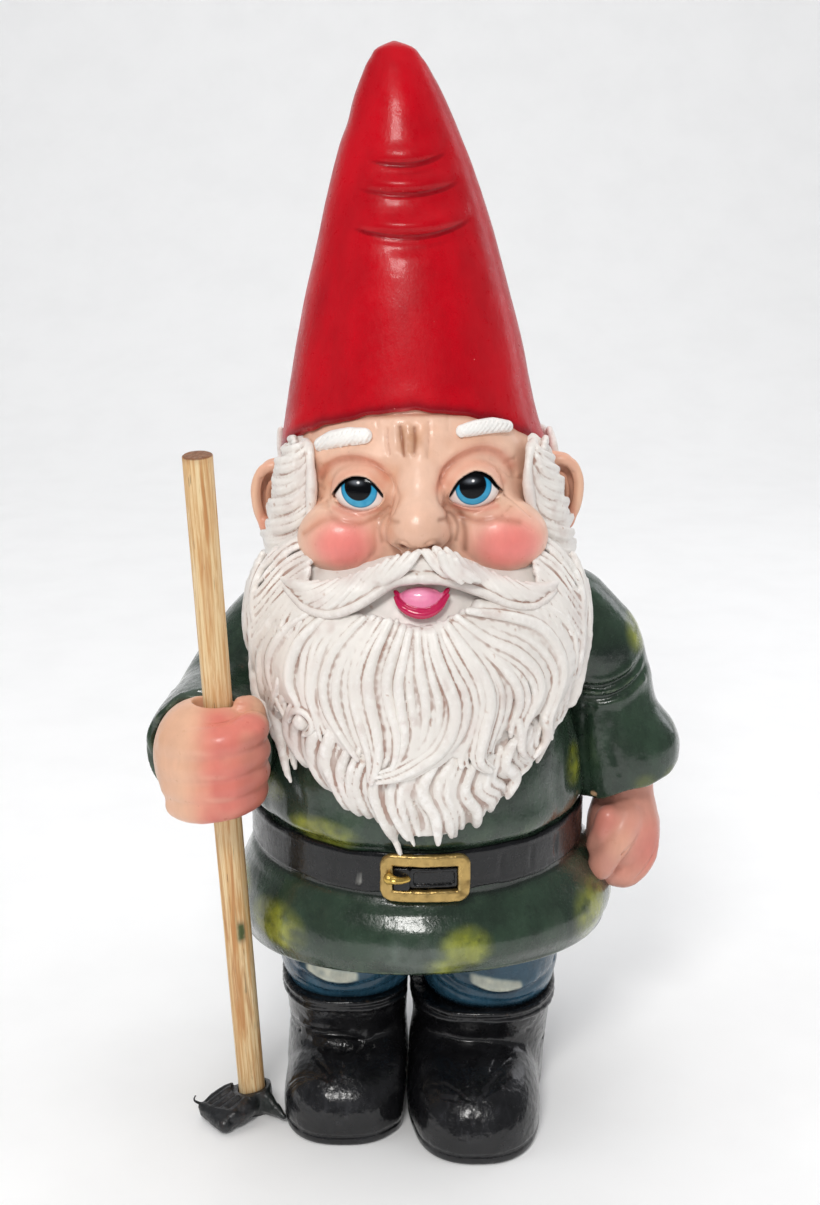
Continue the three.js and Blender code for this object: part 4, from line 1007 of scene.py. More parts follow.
# ---- boots -----------------------------------------------------------------------------
def build_boots():
    for node in ("boot_right", "boot_left"):
        right = node == "boot_right"
        f = Field((-68, -84, -2.4), (0, 40, 68), 0.62) if right else Field((-8, -100, -2.4), (72, 40, 62), 0.62)
        top = 60.5 if right else 55.0
        if right:
            f.loft([[-3, -32.5, -8, 27.5, 34, 36], [10, -32.5, -8, 28.6, 34, 35], [26, -33, -8, 29.4, 34, 34], [40, -33, -8, 29.8, 36.5, 34.5], [50, -33.2, -8, 30.4, 40, 35.5], [top, -33.4, -8, 31, 42, 36.5]], p=2.5)
            f.block((-34.0, -31, 8), (28.5, 44, 27), 2.7, k=7)
            f.block((-34.5, -46, 5), (27.2, 29.0, 24), 2.5, k=6)
            f.block((-33, 10, 8), (28.0, 24, 20), 2.4, k=6)
            f.block((-14, -30, 12), (13, 33, 22), 2.4, k=8)
        else:
            f.loft([[-3, 30.0, -8, 31, 34, 36], [10, 30.4, -8, 32, 34, 35], [26, 31.0, -8, 32.6, 34, 34], [36, 31.2, -8, 33.2, 37, 34.5], [46, 31.5, -8, 34, 41, 35.5], [top, 31.6, -8, 34.6, 43, 36.5]], p=2.5)
            f.block((28.0, -39, 8), (30.5, 50, 28), 2.6, k=7)
            f.block((27.0, -57, 5), (27.5, 33.5, 24), 2.4, k=6)
            f.block((31, 10, 8), (30, 24, 20), 2.4, k=6)
            f.block((10, -30, 12), (14, 36, 22), 2.4, k=8)
        cx = -33.2 if right else 31.5
        tz = 0.0 if right else -5.5
        # rolled top: two thin welts, uneven like pressed clay
        for j, (dz, rr, out) in enumerate(((-1.4, 1.7, -0.1), (-5.0, 1.5, 0.1))):
            ring = []
            for a in np.linspace(-math.pi, math.pi, 46):
                sgn = 1 if right else -1
                rx, fr, bk = (30.8, 41.5, 36.2) if right else (34.4, 42.5, 36.2)
                sx, sy = math.sin(a), -math.cos(a)
                q = (abs(sx) ** 2.5 + abs(sy) ** 2.5) ** (-1 / 2.5)
                wob = 0.7 * math.sin(3 * a + 1.3 * j) + 0.4 * math.sin(7 * a + 2 + j)
                ring.append([cx + (rx + out) * sx * q, -8 + ((fr if sy < 0 else bk) + out) * sy * q, top + dz - (1.6 * (1 - math.cos(a)) if j else 0) * 0.2 + wob * (0.8 if j else 0.4)])
            f.line(ring, rr, k=1.2)
        # folds: the deep one across the ankle, hanging lip above it, and smaller ones at its ends
        if right:
            folds = [([(-63, -12, 36), (-56, -36, 39), (-46, -42, 39.4), (-35, -43, 38.8), (-24, -42, 35.5), (-12, -38, 32)], 1.6, 1.7), ([(-62, 2, 29), (-60, -22, 33), (-55, -33, 35.5)], 1.5, 1.2), ([(-62, 10, 43), (-60, -20, 45), (-52, -38, 46)], 1.3, 0.8),
                     ([(-52, -46, 28.5), (-42, -50, 29.5), (-34, -51, 28)], 0.9, 0.45), ([(-46, -55, 26), (-38, -58, 26.4), (-31, -57, 24)], 0.9, 0.4)]
            lips = [([(-56, -38, 42), (-46, -43, 42.6), (-35, -45, 42), (-24, -43, 38.6)], 2.4, -1.1), ([(-50, -43, 36), (-36, -46, 35.4), (-24, -45, 32)], 2.2, -0.7)]
        else:
            folds = [([(8, -42, 30), (16, -45, 30), (26, -47, 29.4), (38, -46, 26.5), (50, -40, 25), (61, -20, 24)], 1.6, 1.7), ([(63, -4, 34), (58, -26, 32), (50, -39, 31)], 1.5, 1.3), ([(64, 0, 42), (60, -24, 41), (52, -40, 40)], 1.4, 0.9), ([(64, 4, 27), (60, -20, 27), (52, -38, 27.6)], 1.3, 1.0),
                     ([(16, -58, 30), (26, -60, 30.4), (36, -58, 28)], 0.9, 0.4)]
            lips = [([(12, -46, 33.6), (26, -49, 33), (38, -47, 30.4), (50, -41, 28.6)], 2.4, -1.2), ([(12, -48, 26.6), (26, -51, 26), (38, -50, 23.4)], 2.2, -0.7)]
        for pts, r, am in folds:
            f.line(bezier(pts, 14), r, "push", amount=am)
        for pts, r, am in lips:
            f.line(bezier(pts, 14), r, "push", amount=am)
        # back and heel: two soft folds and a shallow notch over the heel
        for pts in ([(cx - 24, 18, 32 + tz), (cx - 8, 25, 30 + tz), (cx + 8, 25, 31 + tz), (cx + 24, 18, 33 + tz)], [(cx - 20, 22, 42 + tz), (cx, 27.5, 40 + tz), (cx + 22, 21, 43 + tz)]):
            f.line(bezier(pts, 12), 2.0, "push", amount=1.2)
        f.line(bezier([(cx - 29, 6, 17), (cx - 22, 24, 16), (cx, 33, 15.5), (cx + 22, 24, 16), (cx + 29, 6, 17)], 16), 2.2, "push", amount=0.9)
        # raked brush marks over the toe cap, running back from the tip
        rng = np.random.default_rng(5 if right else 9)
        tip = np.array([-36, -70, 20]) if right else np.array([26, -84, 20])
        for i in range(34):
            a = rng.uniform(-1.15, 1.0)
            s0, l = rng.uniform(2, 20), rng.uniform(6, 15)
            d0 = np.array([math.sin(a), math.cos(a)])
            pts = []
            for t in np.linspace(0, 1, 6):
                q = tip[:2] + d0 * (s0 + l * t) + [rng.normal(0, 0.15), 0]
                pts.append([q[0], q[1], 0])
            pts = np.array(pts)
            zz = np.array([f_height(f, q[0], q[1], 44) for q in pts])
            if (zz > 3).all():
                pts[:, 2] = zz
                f.line(pts, rng.uniform(0.55, 0.95), "push", amount=rng.uniform(0.25, 0.55) * rng.choice([-1, 1]))
        sl, x, y, z = f.all()
        # a thin sole line, the flat sole and the seam between the two boots
        f.d += (0.7 * np.exp(-(((z - 4.6) / 0.9) ** 2)) * (f.d > -3)).astype(F32)
        f.d[:] = smax(f.d, (0.02 - z).astype(F32) + 0 * f.d, 1.6)
        seam = -4.4 - 3.0 * np.clip((-y - 10) / 50, 0, 1) * np.clip((44 - z) / 44, 0, 1) + 0.4 * np.sin(z / 7)
        side = (x - (seam - 0.2)) if right else ((seam + 0.2) - x)
        f.d[:] = smax(f.d, side.astype(F32), 2.6)
        f.d[:] = smax(f.d, (z - top - 0.3).astype(F32) + 0 * f.d, 1.8)
        v, q = f.mesh()
        n = vertex_normals(v, q)
        v = v + n * ((0.35 * noise(v, 9, 101, 3) + 0.12 * noise(v * [1, 1, 1.6], 2.6, 102, 2)) * ramp(v[:, 2], 0.5, 4))[:, None]
        v[:, 2] = np.maximum(v[:, 2], 0.02)
        tint = np.tile(rgb(19, 19, 21), (len(v), 1))
        tint = mix(tint, rgb(44, 45, 48), 0.5 * ramp(noise(v, 11, 103, 3), 0.05, 0.75))
        # painted highlight: the toe caps are painted a lighter grey in streaks
        toe = blob(v, tip - [0, -6, 2], (24, 22, 18))
        tint = mix(tint, rgb(60, 60, 64), 0.55 * toe * ramp(noise(v * [2.2, 1, 1], 3.2, 104, 3), -0.2, 0.6))
        tint = mix(tint, rgb(96, 74, 52), 0.35 * ramp(noise(v, 2.2, 105, 2), 0.45, 0.7) * np.exp(-((v[:, 2] - top + 2) / 2.2) ** 2))
        make_object("boot_cast_" + node[5:], v, q, "figure", node, M["boots"], {"cav": cavity(v, q, 8)}, tint)


def f_height(f, x, y, z0):
    """Highest surface point of a field above (x, y), looking down from z0."""
    zs = np.arange(z0, 0.5, -f.h)
    p = np.stack([np.full(len(zs), x), np.full(len(zs), y), zs], 1)
    d = f.sample(p)
    i = np.argmax(d < 0)
    return zs[i] if d[i] < 0 else -1.0


# ---- trousers --------------------------------------------------------------------------
def build_trousers():
    f = Field((-74, -58, 40), (76, 46, 96), 0.75)
    for cx, rings in ((-33.0, [[44, 26, 30, 29], [54, 29, 35, 33], [62, 31.6, 40, 36.5], [70, 33.4, 43.6, 39.5], [78, 34.0, 44.8, 41], [86, 34.6, 44, 42], [94, 35.2, 43, 42]]), (34.2, [[42, 26, 30, 29], [50, 29.5, 36, 33], [57, 32.0, 41, 36.5], [65, 33.8, 44.2, 39.5], [74, 34.4, 45.2, 41], [84, 34.8, 44.4, 42], [94, 35.2, 43, 42]])):
        f.loft([[z, cx, -7, rx, fr, bk] for z, rx, fr, bk in rings], k=4, p=2.3)
    f.block((0.5, -4, 92), (22, 36, 14), 2.4, k=6)
    # the cloth sags over the boot tops in soft crescents under each knee
    for pts, r, am in (
        ([(-60, -26, 78), (-52, -44, 72), (-38, -51, 67.4), (-26, -50, 68.5), (-14, -42, 73)], 2.3, 1.5), ([(-62, -14, 70), (-55, -38, 66.5), (-40, -48, 63.6), (-24, -47, 64.2), (-10, -38, 67)], 1.8, 0.9),
        ([(12, -42, 72), (24, -50, 67), (38, -51, 64), (52, -46, 65), (64, -26, 70)], 2.3, 1.6), ([(10, -40, 66), (22, -48, 62.5), (36, -50, 60), (50, -45, 60), (64, -24, 63)], 1.8, 0.9),
        ([(56, -40, 74), (64, -26, 79), (69, -8, 83)], 2.0, 1.1), ([(-56, -38, 84), (-64, -20, 82), (-68, -2, 78)], 2.0, 1.0),
        ([(-62, 12, 74), (-48, 30, 70), (-30, 35, 69), (-12, 28, 73)], 2.4, 1.4), ([(8, 28, 70), (26, 35, 66), (46, 32, 67), (62, 14, 71)], 2.4, 1.4),
        ([(0.5, -38, 88), (0.5, -34, 76), (0.8, -30, 60)], 2.4, 1.6), ([(0.5, 34, 88), (0.5, 30, 74), (0.8, 24, 58)], 2.4, 1.6)):
        f.line(bezier(pts, 18), r, "push", amount=am)
    for pts, r, am in (([(-54, -42, 76.5), (-38, -51, 71.6), (-22, -48, 74)], 3.0, -1.3), ([(20, -48, 72.5), (38, -52, 68.0), (54, -44, 70)], 3.0, -1.3), ([(-54, -40, 69), (-38, -49, 65.6), (-22, -46, 67)], 1.8, -0.7), ([(20, -47, 65), (36, -50, 62), (52, -44, 62.4)], 1.8, -0.7)):
        f.line(bezier(pts, 18), r, "push", amount=am)
    v, q = f.mesh()
    n = vertex_normals(v, q)
    v = v + n * (0.4 * noise(v, 12, 111, 2) + 0.08 * noise(v, 2.4, 112, 2))[:, None]
    tint = np.tile(BLUE, (len(v), 1))
    tint = mix(tint, rgb(26, 48, 70), 0.7 * ramp(noise(v, 14, 113, 3), 0.0, 0.8))
    tint = mix(tint, rgb(74, 110, 138), 0.5 * ramp(noise(v * [0.5, 0.5, 2.0], 9, 114, 3), 0.15, 0.8))
    for c, tilt in (((-39.5, -49, 75.2), -0.13), ((36.8, -50, 70.2), -0.22)):
        d0 = v - np.array(c)
        zz = d0[:, 2] - tilt * d0[:, 0] + 0.0
        low = zz - (0.018 * d0[:, 0] ** 2 - 3.9)
        m = ramp(low, -0.6, 0.8) * ramp(np.abs(d0[:, 0]), 13.5, 10.5) * ramp(zz, 3.4 + 1.2, 1.5) * (v[:, 1] < -20)
        edge = np.exp(-((low + 0.6) / 1.3) ** 2) * ramp(np.abs(d0[:, 0]), 14.5, 9) * (v[:, 1] < -20)
        tint = mix(tint, rgb(16, 30, 46), 0.75 * edge)
        m = m * (0.82 + 0.3 * noise(v, 3.0, 116, 2))
        tint = mix(tint, rgb(120, 150, 152), np.clip(m * 1.6, 0, 1) * 0.6)
        tint = mix(tint, CREAM, np.clip(m * 1.25 - 0.2, 0, 0.96))
    # painted shade: darker low down, where the trousers go into the boot tops
    tint = mix(tint, rgb(12, 18, 24), 0.85 * ramp(v[:, 2], 59.5, 55.5))
    make_object("trouser_cloth", v, q, "figure", "trousers", M["trousers"], {"cav": cavity(v, q, 10)}, tint)


# ---- sleeves ---------------------------------------------------------------------------
def cloth_colour(v, seed):
    tint = np.tile(GREEN, (len(v), 1))
    tint = mix(tint, rgb(27, 36, 33), 0.8 * ramp(noise(v, 22, seed, 3), 0.0, 0.75))
    return mix(tint, rgb(62, 80, 64), 0.5 * ramp(noise(v, 13, seed + 1, 3), 0.15, 0.8))


def olive(tint, v, spots, seed):
    dab = 0.55 + 0.6 * noise(v * [1, 1, 0.7], 6.0, seed, 3)
    for c, r, s in spots:
        m = blob(v, c, r) * 2.1 * dab * s
        tint = mix(tint, OLIVE, np.clip(m, 0, 0.9) * 0.85)
        tint = mix(tint, rgb(164, 166, 62), np.clip(m - 0.75, 0, 0.5) * 0.6)
    return tint


def build_sleeve_right():
    f = Field((-126, -84, 150), (-34, 36, 262), 0.75)
    path = [(-46, 6, 230, 21), (-60, 6, 226, 24.5), (-72, 6, 212, 24.5), (-81, 2, 198, 24.5), (-86.5, -12, 190.5, 25), (-90, -32, 188, 26), (-92, -46, 187.8, 26.6)]
    pts = np.array(path)
    f.line(pts[:, :3], pts[:, 3], k=9)
    # forearm runs forward, so the cuff is an open mouth facing the hand
    ax = np.array([-0.10, -0.99, 0.0])
    cuff = np.array([-93.0, -51, 187.6])
    ring = []
    for a in np.linspace(0, 2 * math.pi, 61):
        r = 25.2 + 0.8 * math.sin(3 * a + 0.5) + 0.45 * math.sin(7 * a) + 0.3 * math.sin(13 * a + 1)
        ring.append([cuff[0] + r * math.cos(a), cuff[1] + 1.5 * math.sin(2 * a) + 0.9 * math.sin(9 * a + 2), cuff[2] + r * 1.02 * math.sin(a)])
    f.line([cuff + [0, 4, 0], cuff + [-0.4, -6.0, 0]], [26.6, 27.2], k=5)
    f.line([cuff + [-0.3, 2.5, 0], cuff + [-1.2, -26, 0]], [22.6, 24.6], "cut", k=1.2)
    sl, x, y, z = f.all()
    f.d[:] = smax(f.d, (cuff[1] - 0.5 - y).astype(F32) + 0 * f.d, 0.8)
    f.line(ring, 1.75, k=1.4)
    # folds bunched in the crook and across the back of the elbow
    for pts, r, am in (
        ([(-62, -18, 214), (-74, -20, 208), (-86, -20, 209)], 1.9, 1.5), ([(-60, -20, 202), (-72, -26, 200), (-86, -30, 206), (-98, -30, 209)], 1.8, 1.4), ([(-66, -28, 190), (-66, -34, 200), (-76, -38, 210)], 1.8, 1.0),
        ([(-98, 10, 214), (-104, -4, 206), (-108, -16, 196)], 2.2, 1.3), ([(-92, 22, 204), (-102, 14, 194), (-108, 0, 184)], 2.0, 1.2), ([(-78, 26, 196), (-90, 20, 182), (-98, 4, 171)], 2.2, 1.3),
        ([(-112, -30, 204), (-116, -34, 190), (-112, -34, 172)], 1.8, 0.9), ([(-72, -36, 170), (-88, -40, 161), (-104, -38, 166)], 1.8, 0.9), ([(-68, 24, 226), (-84, 18, 222), (-92, 2, 220)], 2.0, 0.9)):
        f.line(bezier(pts, 16), r, "push", amount=am)
        f.line(bezier(np.array(pts) + [0, 0, 3.4], 16), r * 1.3, "push", amount=-0.5 * am)
    v, q = f.mesh()
    n = vertex_normals(v, q)
    v = v + n * (0.35 * noise(v, 16, 121, 2) + 0.1 * noise(v, 3.5, 122, 2))[:, None]
    tint = olive(cloth_colour(v, 123), v, (((-86, 12, 214), (14, 18, 14), 0.8), ((-62, -6, 246), (16, 16, 10), 0.8), ((-110, -18, 200), (10, 18, 14), 0.8), ((-88, 24, 190), (16, 14, 16), 0.9), ((-90, -20, 163), (18, 16, 8), 0.7)), 126)
    rad = np.hypot(v[:, 0] - cuff[0], v[:, 2] - cuff[2])
    # painted highlight on the upper part of the cuff's rim, and painted shade inside the cuff's mouth
    rim = np.exp(-((v[:, 1] - cuff[1]) / 2.6) ** 2)
    tint = mix(tint, rgb(110, 122, 116), 0.35 * rim * ramp(v[:, 2], 200, 212) * (rad > 24))
    tint = mix(tint, rgb(14, 20, 18), 0.9 * ((rad < 23.6) & (v[:, 1] < cuff[1] + 5)))
    make_object("sleeve_cloth_right", v, q, "figure", "sleeve_right", M["tunic"], {"cav": cavity(v, q, 12)}, tint)


def build_sleeve_left():
    f = Field((36, -36, 134), (134, 40, 262), 0.75)
    pts = np.array([(52, 6, 231, 20), (68, 5, 230, 24), (80.5, 4, 217, 23.6), (88.5, 3, 201, 22.2)])
    f.line(pts[:, :3], pts[:, 3], k=8)
    # lower sleeve flares like a bell from the elbow
    low = np.array([(86.5, 1, 197, 20.5), (91.5, 0, 182, 22.2), (96, -1, 168, 24.2), (97.0, -2, 158, 24.6)])
    f.line(low[:, :3], low[:, 3], k=6)
    f.block((103, -2, 170), (20, 22, 19), 2.5, k=7, turn=(0, 14, 0))
    sl, x, y, z = f.all()
    # the mouth is cut on a slant, low at the inner side
    cut = (149.5 + (x - 78) * F32(0.30) + 0.9 * np.sin(x / 2.9) * np.cos(y / 3.6) + 0.7 * np.sin(x / 5.1 + y / 4.4)) - z
    f.d[:] = smax(f.d, cut.astype(F32), 2.0)
    f.line([(98.2, -3, 158), (100, -6, 120)], [17.6, 20.0], "cut", k=1.5)
    f.block((99.5, -4, 147), (19, 19.5, 12), 2.4, "cut", k=1.5)
    for pts, r, am in (
        ([(74, -18, 206), (86, -20.5, 206), (98, -16, 211), (108, -6, 219), (111, 6, 223)], 1.5, 1.7), ([(72, -18, 200.5), (86, -20.5, 200.5), (98, -17, 205), (108, -8, 212), (112, 4, 216)], 1.4, 1.5),
        ([(78, -18, 196), (86, -20, 195.5), (94, -19, 198)], 1.3, 0.7), ([(96, -16, 208), (103, -12, 212.5)], 1.1, 0.9),
        ([(110, 10, 218), (104, 20, 211), (92, 25, 207), (80, 25, 206)], 1.8, 1.4), ([(112, 8, 208), (106, 18, 202), (92, 24, 199)], 1.8, 1.2),
        ([(92, -22, 194), (90, -24, 180), (94, -25, 166)], 2.4, 0.9), ([(101, -20, 186), (104, -23, 174)], 2.4, 0.6), ([(78, -18, 190), (78, -20, 172), (80, -21, 156)], 2.2, 0.9), ([(104, 20, 190), (110, 20, 176), (112, 18, 164)], 2.4, 0.9), ([(88, 24, 188), (88, 24, 172), (90, 22, 156)], 2.4, 0.9)):
        f.line(bezier(pts, 18), r, "push", amount=am)
    for pts, r, am in (([(76, -20, 209.5), (88, -22, 209.5), (99, -17, 214.5)], 2.2, -0.8), ([(74, -20, 203.2), (87, -22, 203.2), (99, -18, 208), (108, -8, 215.5)], 1.5, -0.9), ([(84, -22, 196.5), (96, -20, 200), (106, -12, 207)], 2.2, -0.7)):
        f.line(bezier(pts, 18), r, "push", amount=am)
    v, q = f.mesh()
    n = vertex_normals(v, q)
    v = v + n * (0.3 * noise(v, 16, 131, 2) + 0.1 * noise(v, 3.5, 132, 2))[:, None]
    tint = olive(cloth_colour(v, 133), v, (((103, -4, 228), (10, 18, 12), 0.9), ((112, 0, 176), (13, 20, 12), 1.0), ((116, -6, 162), (12, 18, 9), 1.05), ((104, -20, 160), (10, 9, 9), 0.7), ((90, 24, 176), (16, 12, 18), 0.9), ((70, 22, 244), (18, 14, 10), 0.8)), 136)
    for c, r in (((82.5, -23, 153.2), 1.7), ((92.0, -24, 150.2), 2.2)):
        tint = mix(tint, rgb(206, 168, 130), np.clip(blob(v, c, (r, 6, r)) * 3, 0, 1))
    # painted shade: the inside of the sleeve's mouth is painted near black
    tint = mix(tint, rgb(12, 16, 15), 0.85 * (np.hypot(v[:, 0] - 99, v[:, 1] + 3.5) < 17.8) * ramp(v[:, 2], 170, 160))
    make_object("sleeve_cloth_left", v, q, "figure", "sleeve_left", M["tunic"], {"cav": cavity(v, q, 12)}, tint)


# ---- hands -----------------------------------------------------------------------------
def at_staff(z):
    return STAFF_BOTTOM + STAFF_DIR * ((z - STAFF_BOTTOM[2]) / STAFF_DIR[2])


def build_hand_right():
    f = Field((-120, -96, 156), (-60, -26, 222), 0.55)
    f.block((-91.5, -66.5, 191.6), (23.4, 21.5, 25.2), 2.2, k=4)
    f.line([(-90, -34, 188), (-91, -60, 190.5)], [15, 17], k=6)
    # four fingers wrap the handle from the outer side and end by the palm
    for i, (z0, r) in enumerate(((203.8, 7.4), (193.8, 7.7), (184.0, 7.3), (175.4, 6.2))):
        s = at_staff(z0)
        pts = bezier([(-103, -76, z0 - 3.5), (-93, -83.5, z0 - 1.8), (-82, -85.2, z0 + 0.2), (-73.6, -79.5, z0 + 1.6), (-70.6, -70.5, z0 + 1.6)], 12)
        f.line(pts, r * np.linspace(1.04, 0.90, 12), k=2.6)
    # thumb side: a stubby tip over the first finger at the top, by the handle
    f.line(bezier([(-71.5, -60, 205), (-73.0, -62.5, 211.0), (-76.0, -66.0, 213.2)], 8), [6.0, 6.0, 6.0, 5.8, 5.4, 5.0, 4.8, 4.4], k=1.6)
    f.ball((-75.6, -69.6, 214.9), (3.6, 2.6, 1.5), "push", amount=0.8)
    # creases between the fingers, as pressed lines
    for a, m, b, am in (((-90, -89.0, 198.4), (-78, -87.5, 199.0), (-67.5, -76, 201.6), 1.25), ((-95, -88.5, 187.2), (-80, -89.0, 188.6), (-67.5, -77, 191.4), 1.35), ((-93, -87.5, 177.6), (-80, -88.0, 178.9), (-68.5, -77, 181.6), 1.3)):
        f.line(bezier([a, m, b], 14), np.linspace(0.55, 1.0, 14), "push", amount=am)
    for p0, p1 in (((-108, -76, 205), (-104, -82, 199)), ((-112, -66, 186), (-110, -72, 178))):
        f.line([p0, p1], 0.8, "push", amount=0.35)
    f.ball((-100, -84, 193), (10, 8, 15), "push", amount=-0.9)
    # the bore, loose round the handle, its upper mouth ragged and opened towards the back of the hand
    lo, hi = at_staff(150), at_staff(226)
    f.line([lo, hi], 7.25, "cut", k=0.8)
    m0 = at_staff(208)
    f.line([m0 + [-1.6, -0.6, -2.5], at_staff(218) + [-3.2, -1.0, 0]], [6.6, 8.2], "cut", k=1.2)
    v, q = f.mesh()
    n = vertex_normals(v, q)
    v = v + n * (0.25 * noise(v, 9, 141, 2) + 0.07 * noise(v, 2.5, 142, 2))[:, None]
    tint = np.tile(rgb(225, 177, 147), (len(v), 1))
    # fingers and knuckles are flushed, the back of the hand stays tan
    fl = ramp(v[:, 0] - 0.25 * (v[:, 2] - 190) * 0.3, -101, -84) * ramp(v[:, 1], -66, -80)
    tint = mix(tint, rgb(218, 118, 106), np.clip(fl * (0.85 + 0.35 * noise(v, 9, 143, 2)), 0, 0.9))
    tint = mix(tint, rgb(208, 112, 104), 0.4 * np.clip(sum(blob(v, c, r) for c, r in (((-82, -88, 204), (12, 10, 6)), ((-82, -88, 193), (12, 10, 5)), ((-80, -88, 183), (12, 10, 5)), ((-80, -86, 172), (12, 12, 5)), ((-75, -66, 215), (6, 7, 5)))), 0, 1))
    # painted highlights on the rounded fronts of the fingers
    tint = mix(tint, rgb(238, 186, 160), 0.5 * np.clip(sum(blob(v, c, (9, 7, 2.4)) for c in ((-90, -88, 202), (-86, -89, 191.5), (-84, -89, 181))), 0, 1))
    # painted shade: the outer side of the fist is painted browner
    tint = mix(tint, rgb(200, 150, 112), 0.5 * ramp(v[:, 0], -104, -115))
    # painted shade: the finger ends are painted browner towards the palm, and the creases between the fingers are
    # painted darker
    tint = mix(tint, rgb(170, 104, 90), 0.6 * ramp(v[:, 0], -80, -69) * ramp(v[:, 2], 210, 206))
    for a, m, b in (((-88, -89.0, 198.5), (-78, -87.5, 199.0), (-67.5, -76, 201.6)), ((-90, -88.8, 188.0), (-80, -89.0, 188.6), (-67.5, -77, 191.4)), ((-88, -87.6, 178.2), (-80, -88.0, 178.9), (-68.5, -77, 181.6))):
        near = np.full(len(v), 1e9)
        for c in bezier([a, m, b], 30):
            near = np.minimum(near, ((v - c) ** 2).sum(1))
        tint = mix(tint, rgb(128, 66, 54), 0.6 * np.exp(-near / 2.6))
    axis = at_staff(0) + 0 * v
    t = (v - STAFF_BOTTOM) @ STAFF_DIR
    rad = np.linalg.norm(v - STAFF_BOTTOM - t[:, None] * STAFF_DIR, axis=1)
    # painted shade round the handle in the top of the bore
    tint = mix(tint, rgb(96, 40, 34), 0.85 * ramp(rad, 8.6, 7.4) * ramp(v[:, 2], 214, 208))
    make_object("fist_right", v, q, "figure", "hand_right", M["skin"], {"cav": cavity(v, q, 8)}, tint)


def build_hand_left():
    f = Field((74, -36, 96), (124, 24, 170), 0.55)
    f.line([(100, -1, 162), (99, -5, 134)], [12.5, 14.5], k=6)
    f.block((98.6, -6.5, 129), (16.6, 18.5, 20), 2.3, k=5, turn=(4, 6, 8))
    # fingers curl down and under, seen from the thumb side
    for i, (dy, r) in enumerate(((-15.5, 6.0), (-8.5, 6.6), (-1, 6.5), (6, 5.9))):
        x0 = 111.5 - 0.5 * abs(i - 1)
        f.line(bezier([(x0 - 3, dy + 1, 132), (x0 - 3.6, dy, 119), (x0 - 11, dy - 0.6, 109.4), (x0 - 21, dy - 1, 112.6), (x0 - 24, dy - 1, 119)], 14), r * np.linspace(1.05, 0.88, 14), k=2.4)
    # thumb laid along the front towards the belt
    f.line(bezier([(99, -18.5, 140), (94, -23.5, 131), (88.6, -24.5, 122), (86.4, -23.5, 115.5)], 12), np.linspace(7.2, 5.0, 12), k=2.6)
    f.line(bezier([(90, -21.5, 142), (88, -22, 134), (84.6, -20, 126)], 8), np.linspace(5.2, 4.2, 8), k=3)
    for pts, r, am in (
        ([(104, -27, 131), (98, -29, 127.5), (93, -28.5, 125), (89, -28, 124.4)], 0.85, 1.3), ([(112.5, -18, 128), (110, -20.5, 118), (104, -22, 109)], 1.2, 1.1),
        ([(115, -12, 130), (113, -12, 118), (106, -12, 105), (94, -12, 104)], 1.2, 1.3), ([(115.5, -5, 130), (113.5, -5, 117), (106, -5, 103), (94, -5, 104)], 1.2, 1.2), ([(114, 2.5, 130), (112, 2.5, 118), (104, 2.5, 104)], 1.2, 1.1),
        ([(92, -26, 139), (88, -26, 133)], 0.8, 0.5), ([(99, -27, 118.5), (96.5, -28, 115.5)], 0.9, 0.7)):
        f.line(bezier(pts, 12), r, "push", amount=am)
    v, q = f.mesh()
    n = vertex_normals(v, q)
    v = v + n * (0.22 * noise(v, 9, 151, 2) + 0.07 * noise(v, 2.5, 152, 2))[:, None]
    tint = np.tile(rgb(214, 150, 132), (len(v), 1))
    tint = mix(tint, rgb(208, 116, 104), 0.7 * np.clip(blob(v, (110, -20, 126), (14, 14, 18)) + blob(v, (88, -24, 140), (8, 10, 12)) + 0.5 * blob(v, (108, 8, 118), (14, 14, 16)), 0, 1))
    # painted highlight on the front of the thumb
    tint = mix(tint, rgb(234, 180, 150), 0.5 * blob(v, (95, -28, 130), (9, 10, 12)))
    # trapped green paint between the thumb and the skirt
    chip = 0.25 * np.clip(blob(v, (85.2, -20, 128.5), (4.6, 12, 9)) * 2.2 * (0.8 + 0.5 * noise(v, 2.2, 153, 2)), 0, 1)
    tint = mix(tint, rgb(22, 38, 28), chip)
    # painted shade: the underside of the curled fingers is painted browner
    tint = mix(tint, rgb(150, 92, 70), 0.5 * ramp(v[:, 2], 112, 104) * (0.6 + 0.5 * noise(v, 4, 154, 2)))
    make_object("hand_open_left", v, q, "figure", "hand_left", M["skin"], {"cav": cavity(v, q, 8)}, tint)


# ---- head ------------------------------------------------------------------------------
def front_y(f, x, z, y0=-96.0, y1=-2.0):
    """Where the surface is met, coming from the front, at each (x, z)."""
    x, z = np.atleast_1d(x).astype(float), np.atleast_1d(z).astype(float)
    ys = np.arange(max(y0, f.lo[1] + f.h), y1, f.h)
    p = np.stack([np.repeat(x, len(ys)), np.tile(ys, len(x)), np.repeat(z, len(ys))], 1)
    d = f.sample(p).reshape(len(x), len(ys))
    i = np.maximum(np.argmax(d < 0, 1), 1)
    r = np.arange(len(x))
    a, b = d[r, i - 1], d[r, i]
    return ys[i - 1] + f.h * np.clip(a / np.where(np.abs(a - b) < 1e-6, 1, a - b), 0, 1)


def on_face(f, pts, n=20, lift=0.0):
    """A smooth curve through (x, z) points, laid on the surface seen from the front."""
    c = bezier(pts, n)
    return np.stack([c[:, 0], front_y(f, c[:, 0], c[:, 1]) - lift, c[:, 1]], 1)


